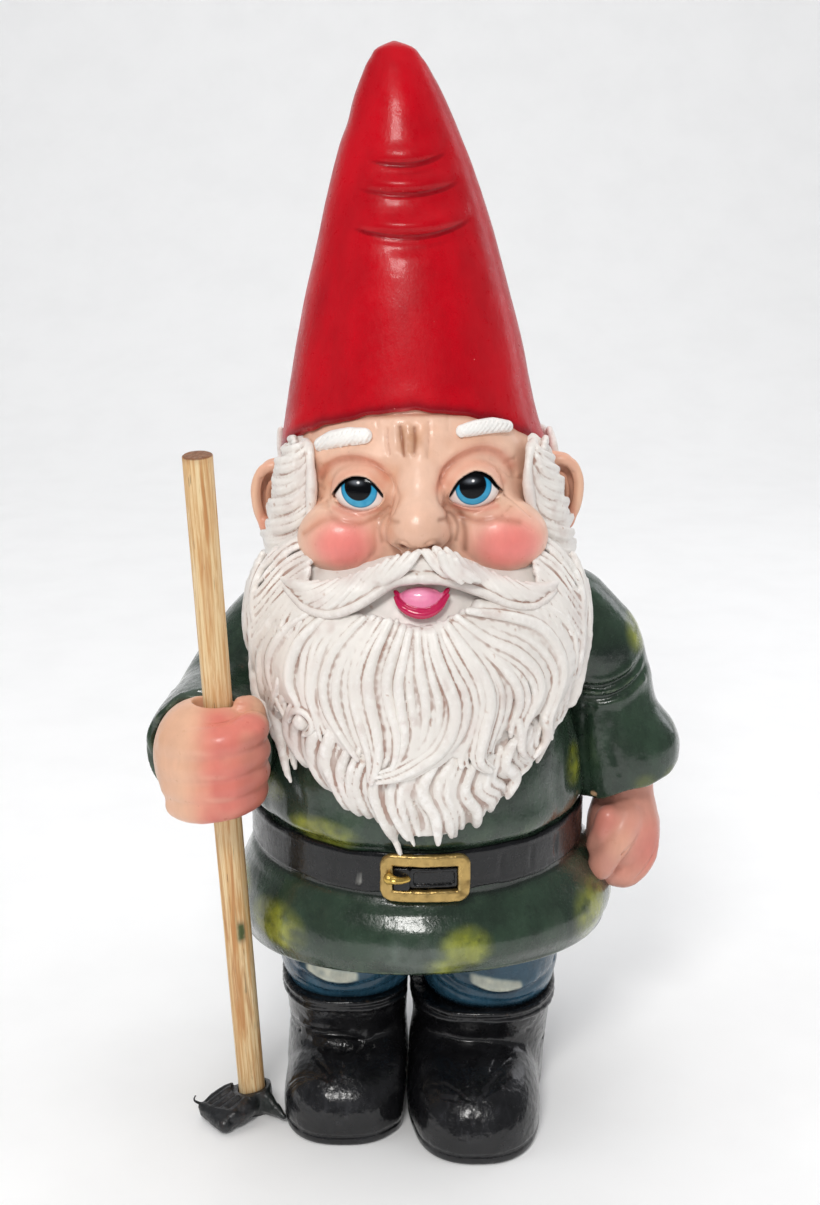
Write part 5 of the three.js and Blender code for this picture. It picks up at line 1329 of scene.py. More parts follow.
def near_curve(v, pts, n=40):
    """Distance in the front view from points to a curve through (x, z) points, and how far along it."""
    c = bezier(pts, n)
    a, b = c[:-1], c[1:]
    ab = b - a
    l2 = np.maximum((ab**2).sum(1), 1e-9)
    p = v[:, [0, 2]]
    best, along = np.full(len(p), 1e9), np.zeros(len(p))
    for i in range(len(a)):
        t = np.clip(((p - a[i]) @ ab[i]) / l2[i], 0, 1)
        d = np.hypot(*(p - a[i] - t[:, None] * ab[i]).T)
        m = d < best
        best[m], along[m] = d[m], (i + t[m]) / len(a)
    return best, along


def closed(pts, n=90):
    p = np.asarray(pts, float)
    return bezier(np.vstack([p[-1:], p, p[:2]]), n + int(2 * n / len(p)))[int(n / len(p)):][:n]


def loop_distance(x, z, pts):
    """Signed distance in the x-z plane to a closed outline, negative inside, on the grid x by z."""
    gx, gz = np.meshgrid(x, z, indexing="ij")
    best, inside = np.full(gx.shape, 1e9), np.zeros(gx.shape, bool)
    for a, b in zip(pts, np.roll(pts, -1, 0)):
        ab = b - a
        t = np.clip(((gx - a[0]) * ab[0] + (gz - a[1]) * ab[1]) / max(ab @ ab, 1e-9), 0, 1)
        best = np.minimum(best, np.hypot(gx - a[0] - t * ab[0], gz - a[1] - t * ab[1]))
        inside ^= ((a[1] > gz) != (b[1] > gz)) & (gx < (b[0] - a[0]) * (gz - a[1]) / (b[1] - a[1] + 1e-12) + a[0])
    return np.where(inside, -best, best)


EYES = {
    "eye_right": dict(c=(-23.0, -48.3, 305.0), r=(13.4, 7.9, 10.6), yaw=18,
                      upper=[(-37.0, 301.8), (-32.9, 308.8), (-27.6, 312.0), (-21.9, 311.9), (-17.6, 308.8), (-14.5, 304.2)],
                      lower=[(-17.8, 299.3), (-25.2, 296.9), (-33.4, 298.5)], iris=(-24.8, 306.4), pupil=(-25.3, 307.7)),
    "eye_left": dict(c=(22.2, -48.3, 306.6), r=(13.4, 7.9, 10.6), yaw=-18,
                     upper=[(13.2, 304.2), (17.2, 310.9), (23.8, 314.4), (29.8, 312.5), (33.6, 307.9), (36.9, 303.1)],
                     lower=[(32.2, 299.9), (24.2, 298.5), (16.0, 300.9)], iris=(23.6, 307.6), pupil=(23.2, 308.6)),
}


def build_head():
    f = Field((-63, -82, 252), (63, -17, 350), 0.65)
    t = HEAD.copy()
    t[5, 3:6] -= 0.6
    t[6, 3:6] -= [2.6, 3.6, 2.0]
    t[7, 3:6] -= 4.0
    f.loft(t)
    # the plain part of the head behind the temples, under hat and hair
    g = Field((-62, -25, 250), (62, 26, 348), 1.3)
    g.loft(t, grow=-0.5)
    gv, gq = g.mesh()
    make_object("skull", gv, gq, "figure", None, M["skin"], {"cav": np.zeros(len(gv))}, np.tile(rgb(233, 192, 168), (len(gv), 1)))
    # cheeks, brow and temples
    f.ball((-31.5, -44.8, 283.2), (20.5, 17.2, 16.6), k=7)
    f.ball((34.8, -44.8, 284.2), (21.5, 17.2, 16.8), k=7)
    for pts, r, am in (([(-42, 317), (-30, 321.5), (-16, 320.5), (-3, 319.5), (12, 321.5), (28, 325.5), (40, 321)], 4.6, -1.5), ([(-26, 333), (0, 334), (26, 334)], 4, -0.5)):
        f.line(on_face(f, pts, 26), r, "push", amount=am)
    f.ball((-3, -55, 321.5), (9, 7, 4.5), "push", amount=-1.2)
    # sockets, deepest beside the bridge
    for c, r, am in (((-25.5, -52, 307), (15, 9, 10.5), 1.6), ((24.5, -52, 308), (15, 9, 10.5), 1.6), ((-11.5, -57, 306), (4.5, 6, 8), 2.0), ((11.5, -57, 307), (4.5, 6, 8), 2.2), ((-44, -40, 309), (7, 8, 8), 1.0), ((44, -40, 309), (7, 8, 8), 1.0)):
        f.ball(c, r, "push", amount=am)
    # nose: bridge, tip, wings
    f.line([(0.6, -51.5, 321), (0.8, -54.4, 313), (0.6, -57.0, 305), (0.3, -61.5, 298)], [4.4, 5.4, 7.4, 9.0], k=8)
    f.ball((0.2, -64.2, 293.0), (12.3, 12.0, 10.6), k=5)
    f.ball((-7.9, -60.6, 288.4), (5.2, 7.8, 5.2), k=3.0)
    f.ball((8.3, -60.6, 288.8), (5.2, 7.8, 5.2), k=3.0)
    f.ball((0.4, -62, 281.5), (6.5, 5, 5), k=5)
    for x, z, tilt in ((-6.2, 285.6, 18), (5.2, 285.9, -18)):
        f.ball((x, -69.0, z), (2.9, 4.2, 1.5), "push", amount=2.3, turn=(0, tilt, 0))
    # round each nostril, and the fold that runs from it past the cheek
    folds = [
        ([(-9.4, 296), (-12.6, 294.2), (-14.4, 290.0), (-13.8, 285.2), (-11.0, 282.8)], 1.0, 0.5), ([(9.8, 296.8), (13.2, 294.8), (15.2, 290.8), (14.6, 285.6), (11.9, 283.0)], 1.0, 0.7),
        ([(-12.0, 302.5), (-15.6, 297.4), (-17.4, 289), (-17.6, 281), (-23, 274.5)], 1.3, 0.7), ([(12.6, 304), (16.2, 298), (17.6, 290), (18.4, 281.5), (25, 274.8)], 1.3, 0.7),
        ([(-9.2, 285.4), (-8.0, 288.4), (-5.2, 288.6), (-3.8, 287.0)], 0.7, 0.9), ([(8.4, 285.6), (7.2, 288.8), (4.6, 289.0), (3.2, 287.4)], 0.7, 0.9),
        # creases over the lids
        ([(-42.0, 307.5), (-39.2, 312.4), (-34, 316.4), (-26.9, 318.2), (-19.5, 317.0), (-14.2, 312.6)], 1.5, 1.5), ([(9.2, 309.4), (12.2, 315), (17.5, 319.6), (25, 321.8), (32.5, 320.4), (39.2, 314.6), (42, 309.6)], 1.5, 1.5),
        ([(-12.0, 311.5), (-8.6, 305), (-10.4, 299.5)], 1.6, 0.9), ([(9.8, 311.5), (9.2, 305), (11.6, 299.8)], 1.6, 1.1),
        # under the eyes
        ([(-39.4, 299.4), (-33.6, 294.2), (-25.2, 292.6), (-17.2, 294.6), (-12.6, 299)], 1.2, 1.15), ([(12.6, 299.6), (17.4, 295.6), (25, 293.8), (33, 295), (39.6, 299)], 1.2, 1.15),
        ([(-48.6, 287), (-43, 291.6), (-36.4, 294.4)], 1.0, 0.85), ([(36, 295.4), (43, 293.2), (48.4, 289.6)], 1.0, 0.7),
        # laughter lines, left ones deeper
        ([(31.2, 317.6), (36.5, 315.0), (42, 315.6)], 0.9, 0.75), ([(35.5, 312.8), (40, 308.4), (45.5, 306.6)], 0.9, 0.75), ([(37.5, 302.0), (43, 298.8), (48, 294.8)], 0.9, 0.8), ([(-45, 304.4), (-40.6, 303.2)], 0.8, 0.5), ([(-47, 298.6), (-41.6, 299.4)], 0.8, 0.5),
        # the fold under the hat
        ([(-46, 326.0), (-38, 331.2), (-28, 334.4), (-12, 336.9), (4, 337.6), (18, 337.0), (30, 337.8)], 0.9, 0.9), ([(-28, 338.2), (-14, 340.4), (-2, 340.2)], 0.8, 0.5),
        # frown lines
        ([(-12.9, 331.4), (-12.9, 327), (-12.0, 321.6)], 0.8, 1.0), ([(-7.4, 332.2), (-6.6, 327), (-6.0, 321.4)], 0.9, 1.1), ([(-1.4, 332.2), (-1.2, 327), (-1.6, 321.6)], 0.8, 0.95), ([(4.6, 334.4), (4.9, 328), (4.4, 321.0)], 0.75, 0.9), ([(12.5, 337), (12.9, 331)], 0.7, 0.45), ([(-17.4, 335), (-16.9, 332)], 0.6, 0.4)]
    for pts, r, am in folds:
        f.line(on_face(f, pts, 22), r, "push", amount=am)
    ridges = [([(-9.9, 332.4), (-9.6, 322)], 1.3, -0.6), ([(-4.2, 332.6), (-3.9, 322)], 1.4, -0.7), ([(1.6, 333), (1.6, 322)], 1.6, -0.7), ([(-40, 315.4), (-33, 320), (-24, 321.2), (-16.4, 318.6)], 2.0, -0.8), ([(11, 318.4), (18, 323), (27, 325), (36, 321.6)], 2.0, -0.9),
              ([(-43, 296.2), (-37, 297.2)], 1.2, -0.5), ([(-21.2, 295), (-21.8, 288), (-21.4, 281)], 1.5, -0.2), ([(22.6, 296), (23.4, 288), (23.6, 281)], 1.5, -0.2), ([(-44, 331.8), (-30, 336.6), (-12, 339)], 1.3, -0.5)]
    for pts, r, am in ridges:
        f.line(on_face(f, pts, 18), r, "push", amount=am)
    # lids: a thin shell over each eyeball, open where the eye shows
    for e in EYES.values():
        c, r = np.array(e["c"]), np.array(e["r"])
        pts = closed(e["upper"] + e["lower"])
        sl, x, y, z = f.view(c - 22, c + 22)
        d2 = loop_distance(x.ravel(), z.ravel(), pts)[:, None, :].astype(F32)
        m = rot((0, 0, -e["yaw"])).T.astype(F32)
        dx, dy, dz = x - F32(c[0]), y - F32(c[1]), z - F32(c[2])
        px, py = m[0, 0] * dx + m[0, 1] * dy, m[1, 0] * dx + m[1, 1] * dy
        g = r + [1.0, 1.5, 1.0]
        a = np.sqrt((px / g[0]) ** 2 + (py / g[1]) ** 2 + (dz / g[2]) ** 2)
        b = np.sqrt((px / g[0] ** 2) ** 2 + (py / g[1] ** 2) ** 2 + (dz / g[2] ** 2) ** 2)
        ball = (a * (a - 1) / np.maximum(b, 1e-6)).astype(F32)
        lid = smax(ball, -d2 + 0 * ball, 0.5)
        d = smin(f.d[sl], lid, 2.2)
        # a soft roll along the rim of the opening
        rim = np.sqrt(d2**2 + (np.maximum(ball, -1.4) + 0.4) ** 2) - 0.95
        d = smin(d, smax(rim, (-d2 - 0.55) + 0 * rim, 0.3), 0.9)
        hole = smax(d2 + 0 * ball, (y - F32(c[1] + 1)).astype(F32) + 0 * ball, 0.5)
        f.d[sl] = smax(d, -hole, 0.4)
    v, q = f.mesh()
    n = vertex_normals(v, q)
    shown = ramp(v[:, 2], 262, 268) * (v[:, 1] < 15)
    v = v + n * ((0.16 * noise(v, 7, 161, 3) + 0.05 * noise(v, 1.8, 162, 2)) * shown)[:, None]
    tint = np.tile(rgb(233, 192, 168), (len(v), 1))
    face = v[:, 1] < -18
    tint = mix(tint, rgb(216, 160, 124), 0.5 * ramp(noise(v, 13, 163, 3), -0.1, 0.7))
    # painted shade: browner at the temples, on the nose and at its sides, under the eyes and on the brow
    for c, r, s in (((-46, -30, 300), (16, 20, 26), 0.6), ((47, -30, 302), (16, 20, 26), 0.6), ((0.5, -68, 293), (17, 14, 12), 0.55), ((-11, -60, 300), (8, 10, 12), 0.5), ((13, -60, 301), (9, 10, 13), 0.75), ((-30, -52, 293), (20, 12, 6.5), 0.5), ((31, -52, 294), (22, 12, 7), 0.65), ((24, -46, 326), (24, 14, 5), 0.3)):
        tint = mix(tint, rgb(206, 152, 126), s * blob(v, c, r))
    # the flush of the cheeks and lids
    for c, r, s in (((-31.5, -60, 283.5), (18.5, 20, 15.5), 1.0), ((38.5, -58, 283.5), (20.5, 22, 15.5), 1.05)):
        b = blob(v, c, np.array(r) * 1.12)
        tint = mix(tint, rgb(236, 154, 142), 0.95 * s * np.clip(1.25 * b, 0, 1) * (0.92 + 0.1 * noise(v, 6, 165, 2)))
        tint = mix(tint, rgb(234, 108, 106), 0.6 * np.clip(1.6 * b - 0.6, 0, 1) * s)
    # painted shade: reddish-brown lines in the lid creases, dark lines in the folds beside the nose and under the eyes,
    # and pink along the lower lids
    for pts, w, s, col in (
        ([(-41.5, 309.5), (-36, 315.5), (-27, 318.6), (-18, 317), (-13.5, 312)], 2.4, 0.55, (206, 118, 92)), ([(8.8, 309), (12, 315.5), (18, 320), (26, 322), (34, 319.5), (40, 313)], 2.6, 0.6, (200, 116, 92)),
        ([(-37, 306), (-31, 312.6), (-22, 314.2), (-15, 308.6)], 1.5, 0.4, (214, 128, 100)), ([(13.5, 309.5), (18, 315), (25, 317), (32, 314), (37, 307)], 1.5, 0.4, (214, 128, 100)),
        ([(12.8, 304), (17.6, 298), (20, 290), (20.2, 281.5)], 1.3, 0.6, (128, 78, 58)), ([(8.8, 297.6), (14, 296.4), (17, 291.2), (16.2, 285.2)], 0.9, 0.6, (128, 78, 58)), ([(-8.2, 297), (-13.4, 295.6), (-16.2, 290.6), (-15.2, 284.8)], 0.9, 0.4, (150, 96, 70)),
        ([(-48.6, 287), (-43, 291.6), (-36.4, 294.4), (-25.2, 292.4), (-17.2, 294.4)], 1.2, 0.5, (184, 118, 92)), ([(17.4, 295.6), (25, 293.6), (33, 294.8), (43, 293)], 1.2, 0.5, (176, 112, 88)),
        ([(-36, 298), (-25, 295.6), (-16, 298.4)], 0.9, 0.45, (222, 130, 110)), ([(15, 299.8), (24, 297.2), (34, 299)], 0.9, 0.5, (222, 130, 110))):
        d, _ = near_curve(v, pts)
        tint = mix(tint, rgb(*col), s * np.exp(-((d / w) ** 2)) * face)
    # a brown wash rubbed into the frown
    fr = np.clip(blob(v, (-4.2, -54, 327.2), (7.5, 14, 7.5)) * 1.5, 0, 1) * (0.55 + 0.6 * noise(v * [1.5, 1, 0.5], 2.6, 166, 2))
    tint = mix(tint, rgb(180, 128, 90), np.clip(fr, 0, 0.6))
    for pts in ([(-7.4, 332.2), (-6.6, 327), (-6.0, 321.8)], [(-1.4, 331.8), (-1.2, 327), (-1.6, 323)]):
        d, _ = near_curve(v, pts)
        tint = mix(tint, rgb(138, 84, 50), 0.75 * np.exp(-((d / 0.8) ** 2)) * face)
    # nostrils: painted shade, dark in the nostril dents
    for x, z in ((-6.2, 285.4), (5.2, 285.7)):
        tint = mix(tint, rgb(112, 62, 46), 0.85 * np.exp(-(((v[:, 0] - x) / 1.9) ** 2) - ((v[:, 2] - z) / 1.1) ** 2) * (v[:, 1] < -58))
    # the liner on the upper rims
    for e in EYES.values():
        d, al = near_curve(v, e["upper"])
        tint = mix(tint, rgb(16, 14, 14), np.clip(1.25 - d / 0.55, 0, 1) * face * ramp(al, 0.0, 0.06) * ramp(al, 1.0, 0.94))
        d, al = near_curve(v, e["lower"])
        tint = mix(tint, rgb(226, 150, 136), 0.5 * np.exp(-((d / 0.8) ** 2)) * face)
    # painted shade: a brown band on the skin just under the hat's edge
    edge = np.abs(v[:, 2] - brim_z(v[:, 1]) + 2.5)
    tint = mix(tint, rgb(170, 98, 76), 0.5 * np.exp(-((edge / 1.3) ** 2)))
    make_object("face", v, q, "figure", "head", M["skin"], {"cav": cavity(v, q, 8)}, tint)


def build_eyes():
    for node, e in EYES.items():
        c, r = np.array(e["c"]), np.array(e["r"])
        nu, nr = 150, 90
        rows = []
        for a in np.linspace(0.008, math.pi * 0.62, nr):
            th = np.linspace(0, 2 * math.pi, nu, endpoint=False)
            rows.append(np.stack([r[0] * math.sin(a) * np.cos(th), -r[1] * math.cos(a) + 0 * th, r[2] * math.sin(a) * np.sin(th)], -1))
        v, q, cap = shell(np.array(rows))
        v = v @ rot((0, 0, -e["yaw"])).T + c
        tint = np.tile(rgb(240, 236, 232), (len(v), 1))
        x, z = v[:, 0], v[:, 2]
        loop = np.array(e["upper"] + e["lower"])
        inner = loop[5] if node == "eye_right" else loop[0]
        outer = loop[0] if node == "eye_right" else loop[5]
        for p, s in ((inner, 0.55), (outer, 0.4)):
            tint = mix(tint, rgb(226, 176, 162), s * np.exp(-(np.hypot(x - p[0], z - p[1]) / 3.6) ** 2))
        dl, _ = near_curve(v, e["lower"])
        tint = mix(tint, rgb(206, 172, 160), 0.5 * np.exp(-((dl / 1.0) ** 2)))
        ri = np.hypot(x - e["iris"][0], z - e["iris"][1])
        rp = np.hypot(x - e["pupil"][0], z - e["pupil"][1])
        iris = ramp(ri, 7.95, 7.6)
        tone = 0.5 + 0.5 * noise(np.stack([x, 0 * x, z], 1), 2.2, 171, 2)
        col = mix(np.tile(rgb(44, 150, 196), (len(v), 1)), rgb(104, 196, 226), 0.75 * np.clip((e["iris"][1] - z + 1) / 8, 0, 1) * tone)
        col = mix(col, rgb(18, 74, 110), 0.7 * np.exp(-(((ri - 7.7) / 0.45) ** 2)))
        tint = mix(tint, col, iris)
        tint = mix(tint, rgb(6, 7, 10), ramp(rp, 5.95, 5.6))
        # painted reflection: a grey smear and a white catch-light on each pupil
        gx, gz = x - e["pupil"][0] + 0.8, z - e["pupil"][1] - 2.0
        tint = mix(tint, rgb(150, 156, 166), 0.55 * np.exp(-((gx / 2.2) ** 2) - (gz / 0.9) ** 2))
        tint = mix(tint, rgb(250, 250, 250), 0.95 * ramp(np.hypot(gx - 0.9, gz * 1.2), 0.75, 0.5))
        d, al = near_curve(v, e["upper"])
        wide = 1.0 + 0.75 * np.sin(np.pi * np.clip(al, 0, 1)) ** 0.8
        tint = mix(tint, rgb(10, 10, 12), np.clip((wide - d) / 0.3, 0, 1) * (v[:, 1] < -44))
        v2, q2 = v, q
        make_object(node.replace("eye", "eyeball"), v2, [q2, cap], "figure", node, M["eye"], {"cav": np.zeros(len(v))}, tint)


def build_ears():
    for node, s, dz in (("ear_right", -1, 0.0), ("ear_left", 1, 3.0)):
        f = Field((-79, -14, 264) if s < 0 else (50, -14, 266), (-50, 20, 312) if s < 0 else (79, 20, 318), 0.45)

        def P(x, y, z):
            return (s * x, y, z + dz)

        f.block(P(63.5, 6.5, 289.5), (10.6, 6.2, 17.6), 2.2, k=3, turn=(0, 6 * s, 0))
        f.ball(P(58, 8, 290), (8, 9, 18), k=4)
        f.ball(P(67.6, 0.5, 290.5), (5.4, 6.0, 11.0), "cut", k=2.4)
        f.line(bezier([P(58.5, 1.5, 301.5), P(64, -1.2, 305.2), P(70.2, -0.8, 302.6), P(73.4, 0.6, 294.6), P(72.8, 1.4, 284.5), P(70, 1.6, 277.4), P(66.4, 0.8, 274.0), P(62.6, 1, 275.6)], 30), np.array([2.2, 2.5, 2.5, 2.4, 2.3, 2.4, 2.6, 2.4] + [2.4] * 22), k=1.6)
        f.line(bezier([P(61.5, -1.5, 299), P(66.2, -1.0, 297.0), P(67.8, 0.0, 290), P(66.6, 0.0, 283.5)], 16), 1.5, k=1.8)
        f.ball(P(68.2, 0.8, 276.4), (3.8, 3.4, 4.2), k=2)
        f.ball(P(62.2, -1.0, 288.5), (2.6, 3.4, 3.4), k=2)
        f.line(bezier([P(70.6, -2.4, 299), P(71.6, -1.6, 291), P(70.2, -1.2, 282)], 12), 0.9, "push", amount=0.8)
        f.line(bezier([P(66, 12, 304), P(71, 10, 294), P(68, 10, 280)], 12), 1.4, "push", amount=0.8)
        v, q = f.mesh()
        n = vertex_normals(v, q)
        v = v + n * (0.14 * noise(v, 5, 181, 2))[:, None]
        tint = np.tile(rgb(228, 176, 150), (len(v), 1))
        # painted shade in the hollow of the ear
        tint = mix(tint, rgb(176, 118, 88), 0.7 * np.clip(1.4 * blob(v, P(66.6, -1, 290), (7, 9, 13)), 0, 1))
        tint = mix(tint, rgb(222, 130, 104), 0.5 * blob(v, P(70, 0, 277), (7, 9, 9)))
        tint = mix(tint, rgb(240, 198, 164), 0.5 * np.exp(-((np.abs(v[:, 0]) - 74) / 1.6) ** 2))
        make_object(node.replace("ear", "outer_ear"), v, q, "figure", node, M["skin"], {"cav": cavity(v, q, 6)}, tint)


def build_brows():
    head = Field((-60, -70, 310), (60, -20, 345), 1.0)
    head.loft(HEAD)
    for node, spine, rad, lean in (("eyebrow_right", [(-41.5, 322.2), (-36, 325.2), (-29, 327.4), (-22.6, 328.4)], [3.2, 4.1, 4.1, 3.4], 0.75), ("eyebrow_left", [(18.8, 330.4), (25, 331.2), (32, 331.3), (38.4, 329.8)], [2.8, 3.4, 3.4, 2.7], 0.55)):
        xs = [p[0] for p in spine]
        f = Field((min(xs) - 7, -64, 317), (max(xs) + 7, -30, 342), 0.4)
        c = on_face(head, spine, 16, 0.6)
        f.line(c, np.interp(np.linspace(0, 1, 16), np.linspace(0, 1, 4), rad), k=1.5)
        # strands slant across the pad
        x0, x1 = min(xs) - 5, max(xs) + 5
        i = 0
        for x in np.arange(x0, x1, 2.15):
            zc = np.interp(x, xs if xs[0] < xs[-1] else xs[::-1], [p[1] for p in spine])
            a = [(x - 2.2 - 0.6 * (i % 3 == 1), zc - 4.6), (x + 0.3, zc - 0.4), (x + 3.4, zc + 4.4)] if lean > 0.6 else [(x - 3.6, zc - 4.0), (x + 0.2, zc - 0.6), (x + 3.4, zc + 4.2)]
            cc = on_face(f, a, 8)
            ok = cc[:, 1] < -32
            if ok.sum() > 3:
                f.line(cc[ok], 0.6, "push", amount=1.1)
            i += 1
        v, q = f.mesh()
        v = v + vertex_normals(v, q) * (0.12 * noise(v, 3.2, 191, 2))[:, None]
        tint = np.tile(rgb(244, 242, 238), (len(v), 1))
        tint = mix(tint, rgb(224, 214, 206), 0.5 * ramp(noise(v, 5, 192, 2), 0.1, 0.7))
        make_object(node.replace("eyebrow", "brow"), v, q, "figure", node, M["hair"], {"cav": cavity(v, q, 5)}, tint)


# ---- hair: carved locks
def resample(path, n):
    p = bezier(path, 120)
    s = np.concatenate([[0], np.cumsum(np.linalg.norm(np.diff(p, axis=0), axis=1))])
    return np.stack([np.interp(np.linspace(0, s[-1], n), s, p[:, i]) for i in range(p.shape[1])], 1)


def taper(n, r, root=0.6, tip=0.3, swell=0.45):
    t = np.linspace(0, 1, n)
    return r * np.where(t < swell, root + (1 - root) * np.sin(t / swell * np.pi / 2), tip + (1 - tip) * np.cos((t - swell) / (1 - swell) * np.pi / 2) ** 0.8)


def strand(f, c, r, k=0.5):
    f.line(c, r, k=k)


def hair_colour(v, seed, dark=0.0):
    tint = np.tile(rgb(232, 227, 221), (len(v), 1))
    tint = mix(tint, rgb(218, 205, 200), 0.6 * ramp(noise(v, 15, seed, 3), 0.0, 0.7))
    tint = mix(tint, rgb(200, 180, 172), 0.45 * ramp(noise(v, 6, seed + 1, 3), 0.2, 0.75))
    spot = ramp(noise(v, 3.0, seed + 2, 2), 0.66, 0.76)
    return mix(tint, rgb(168, 118, 84), 0.55 * spot)


# paths of the beard's locks in the front view, from under the lip outwards
OVER = [
    [(-52, 262), (-62.5, 252), (-69.0, 240), (-70.6, 227), (-69.6, 213), (-66.8, 203), (-64.0, 195.5)],
    [(-46.2, 257), (-57.4, 247.6), (-63.2, 236), (-63.6, 224.4), (-60.6, 214.7), (-57.3, 207)],
    [(-39.2, 256), (-49.2, 246.4), (-54.4, 235.9), (-54.7, 225.5), (-50.5, 216.6), (-49.5, 206.0)],
    [(-33.3, 256), (-42.2, 245), (-45.3, 234), (-46.4, 223.5), (-43.6, 214), (-41.0, 203.0)],
    [(-22.7, 256.5), (-30.0, 248.6), (-36.4, 238.9), (-39.6, 226.7), (-37.6, 216.0), (-31.5, 205.5), (-25.6, 197.5)],
    [(-14.0, 256.5), (-21.0, 244.7), (-24.7, 232.6), (-23.8, 221.0), (-20.4, 208.4), (-18.4, 197.2), (-20.0, 187.0)],
    [(-3.4, 255.0), (-6.3, 243), (-8.4, 231.6), (-6.8, 220.0), (-5.0, 209.3), (-8.4, 197.0), (-16.0, 187.6)],
    [(4.3, 255.5), (6.2, 244.4), (10.3, 233.4), (14.2, 223.6), (13.8, 213.0), (9.2, 203.0), (0.0, 195.8), (-9, 190.6), (-17.0, 188.2)],
    [(11.9, 255.5), (20.0, 244.5), (26.8, 234), (29.6, 223.6), (27.8, 212.0), (26.2, 200.3), (27.4, 195.2), (31.2, 191.8)],
    [(15.8, 256.5), (26.5, 245.6), (38.0, 239), (47.0, 230.6), (49.6, 222.0), (46.2, 214.6), (43.4, 207.0), (45.4, 198.0)],
    [(20.7, 260), (38.0, 256.4), (52.0, 250.4), (60.4, 239.2), (62.8, 228.4), (60.0, 218.6), (56.6, 209.0), (57.6, 198.6)],
    [(36, 262), (54, 257), (65.0, 247), (68.4, 236), (67.6, 224), (63.8, 213), (62, 203)],
    [(50, 263), (64, 256), (71.6, 246.4), (73.4, 236.6), (71.0, 225), (69.2, 214), (65.6, 205)],
]
UNDER = [
    [(-64, 264), (-73.4, 252), (-72.6, 240), (-69.6, 231), (-72.6, 221.6)],
    [(-62, 245), (-67.6, 230), (-67.6, 214), (-66.0, 199)],
    [(-60, 226), (-63.6, 209), (-60.4, 195), (-58.6, 185), (-56.0, 176.6)],
    [(-52, 218), (-56.4, 202), (-52.0, 192), (-48.5, 185)],
    [(-44, 213), (-46.4, 198), (-42.6, 186), (-36.8, 173)],
    [(-35, 208), (-38.6, 192), (-34.4, 178), (-27.6, 163)],
    [(-24, 204), (-29.4, 188), (-26.0, 172), (-17.8, 154.6)],
    [(-12, 200), (-18.4, 184), (-14.6, 167), (-7.6, 150.6)],
    [(-3, 196), (-7.4, 182), (-5.0, 168), (-1.2, 155.6)],
    [(8, 198), (2.4, 184), (7.0, 172), (8.6, 158.0)],
    [(17, 198), (12.0, 184), (15.6, 170), (16.8, 153.8)],
    [(24, 196), (20.4, 182), (25.4, 171), (24.6, 157.6)],
    [(32, 197), (28.6, 184), (34.6, 177), (32.4, 167.6)],
    [(41, 203), (37.6, 192), (42.4, 184), (38.6, 174.0)],
    [(51, 208), (47.4, 197), (51.0, 190), (45.6, 183.6)],
    [(60, 218), (56.6, 206), (58.0, 198), (52.4, 184.6)],
    [(67, 232), (64.4, 216), (63.6, 206), (58.4, 194.6)],
    [(71, 248), (70.4, 232), (68.4, 216), (62.6, 201.0)],
    [(62, 264), (73.4, 254), (74.8, 243), (72.8, 226)],
]


def on_beard(p, lift):
    """Front-view points to points on the beard's own surface, raised by lift."""
    x, z = p[:, 0], p[:, 1]
    cx, cy, rx, fr, bk = ring_at(BEARD, z)
    lift = np.ones(len(p)) * lift
    u = (x - cx) / (rx + lift)
    over = np.maximum(np.abs(u) - 0.985, 0) * (rx + lift) * np.sign(u)
    a = np.arcsin(np.clip(u, -0.985, 0.985))
    y = cy - np.cos(a) * (fr + lift)
    return np.stack([x, y + 0 * over, z + 0 * x], 1)


THICK = [2.75, 1.95, 2.3, 1.9, 2.55, 2.0]
PROUD = [0.75, -0.45, 0.15, -0.5, 0.5, -0.4]


def sheet(f, A, B, pitch, lift_a, lift_b, seed, close=0.5, size=1.0, n_pt=26, crown=0.8):
    """Strands between two neighbouring paths, closing towards the tips into pointed locks."""
    rng = np.random.default_rng(seed)
    a, b = resample(A, n_pt), resample(B, n_pt)
    wide = np.linalg.norm(a - b, axis=1)[n_pt // 3 :].mean()
    n = max(2, int(round(wide / pitch)))
    t = np.linspace(0, 1, n_pt)[:, None]
    for i in range(n):
        w = i / n
        mid = a * (1 - w) + b * w
        near = a if w < 0.55 else b
        p = mid * (1 - close * t**3) + near * (close * t**3)
        m = int(n_pt * (1 - 0.12 * (0.3 < w < 0.8) * rng.uniform(0.2, 1)))
        p = resample(p[:m], n_pt)
        p[:, 0] += 0.45 * np.sin(np.linspace(0, 6, n_pt) + 2.1 * i + seed)
        c = on_beard(p, (lift_a * (1 - w) + lift_b * w) + crown * math.cos(2 * math.pi * w) + 0.8 * PROUD[(i + seed) % 6] + rng.uniform(-0.25, 0.25) - 1.0 + 0.9 * np.sin(np.linspace(0, 5.5, n_pt) + seed))
        f.line(c, taper(n_pt, size * THICK[(i + seed) % 6] * rng.uniform(0.93, 1.1), 0.6, 0.42), k=0.35)


def mouth_hollow(f):
    f.ball((1.6, -86, 261.6), (15.0, 13.0, 8.6), "cut", k=2.0)


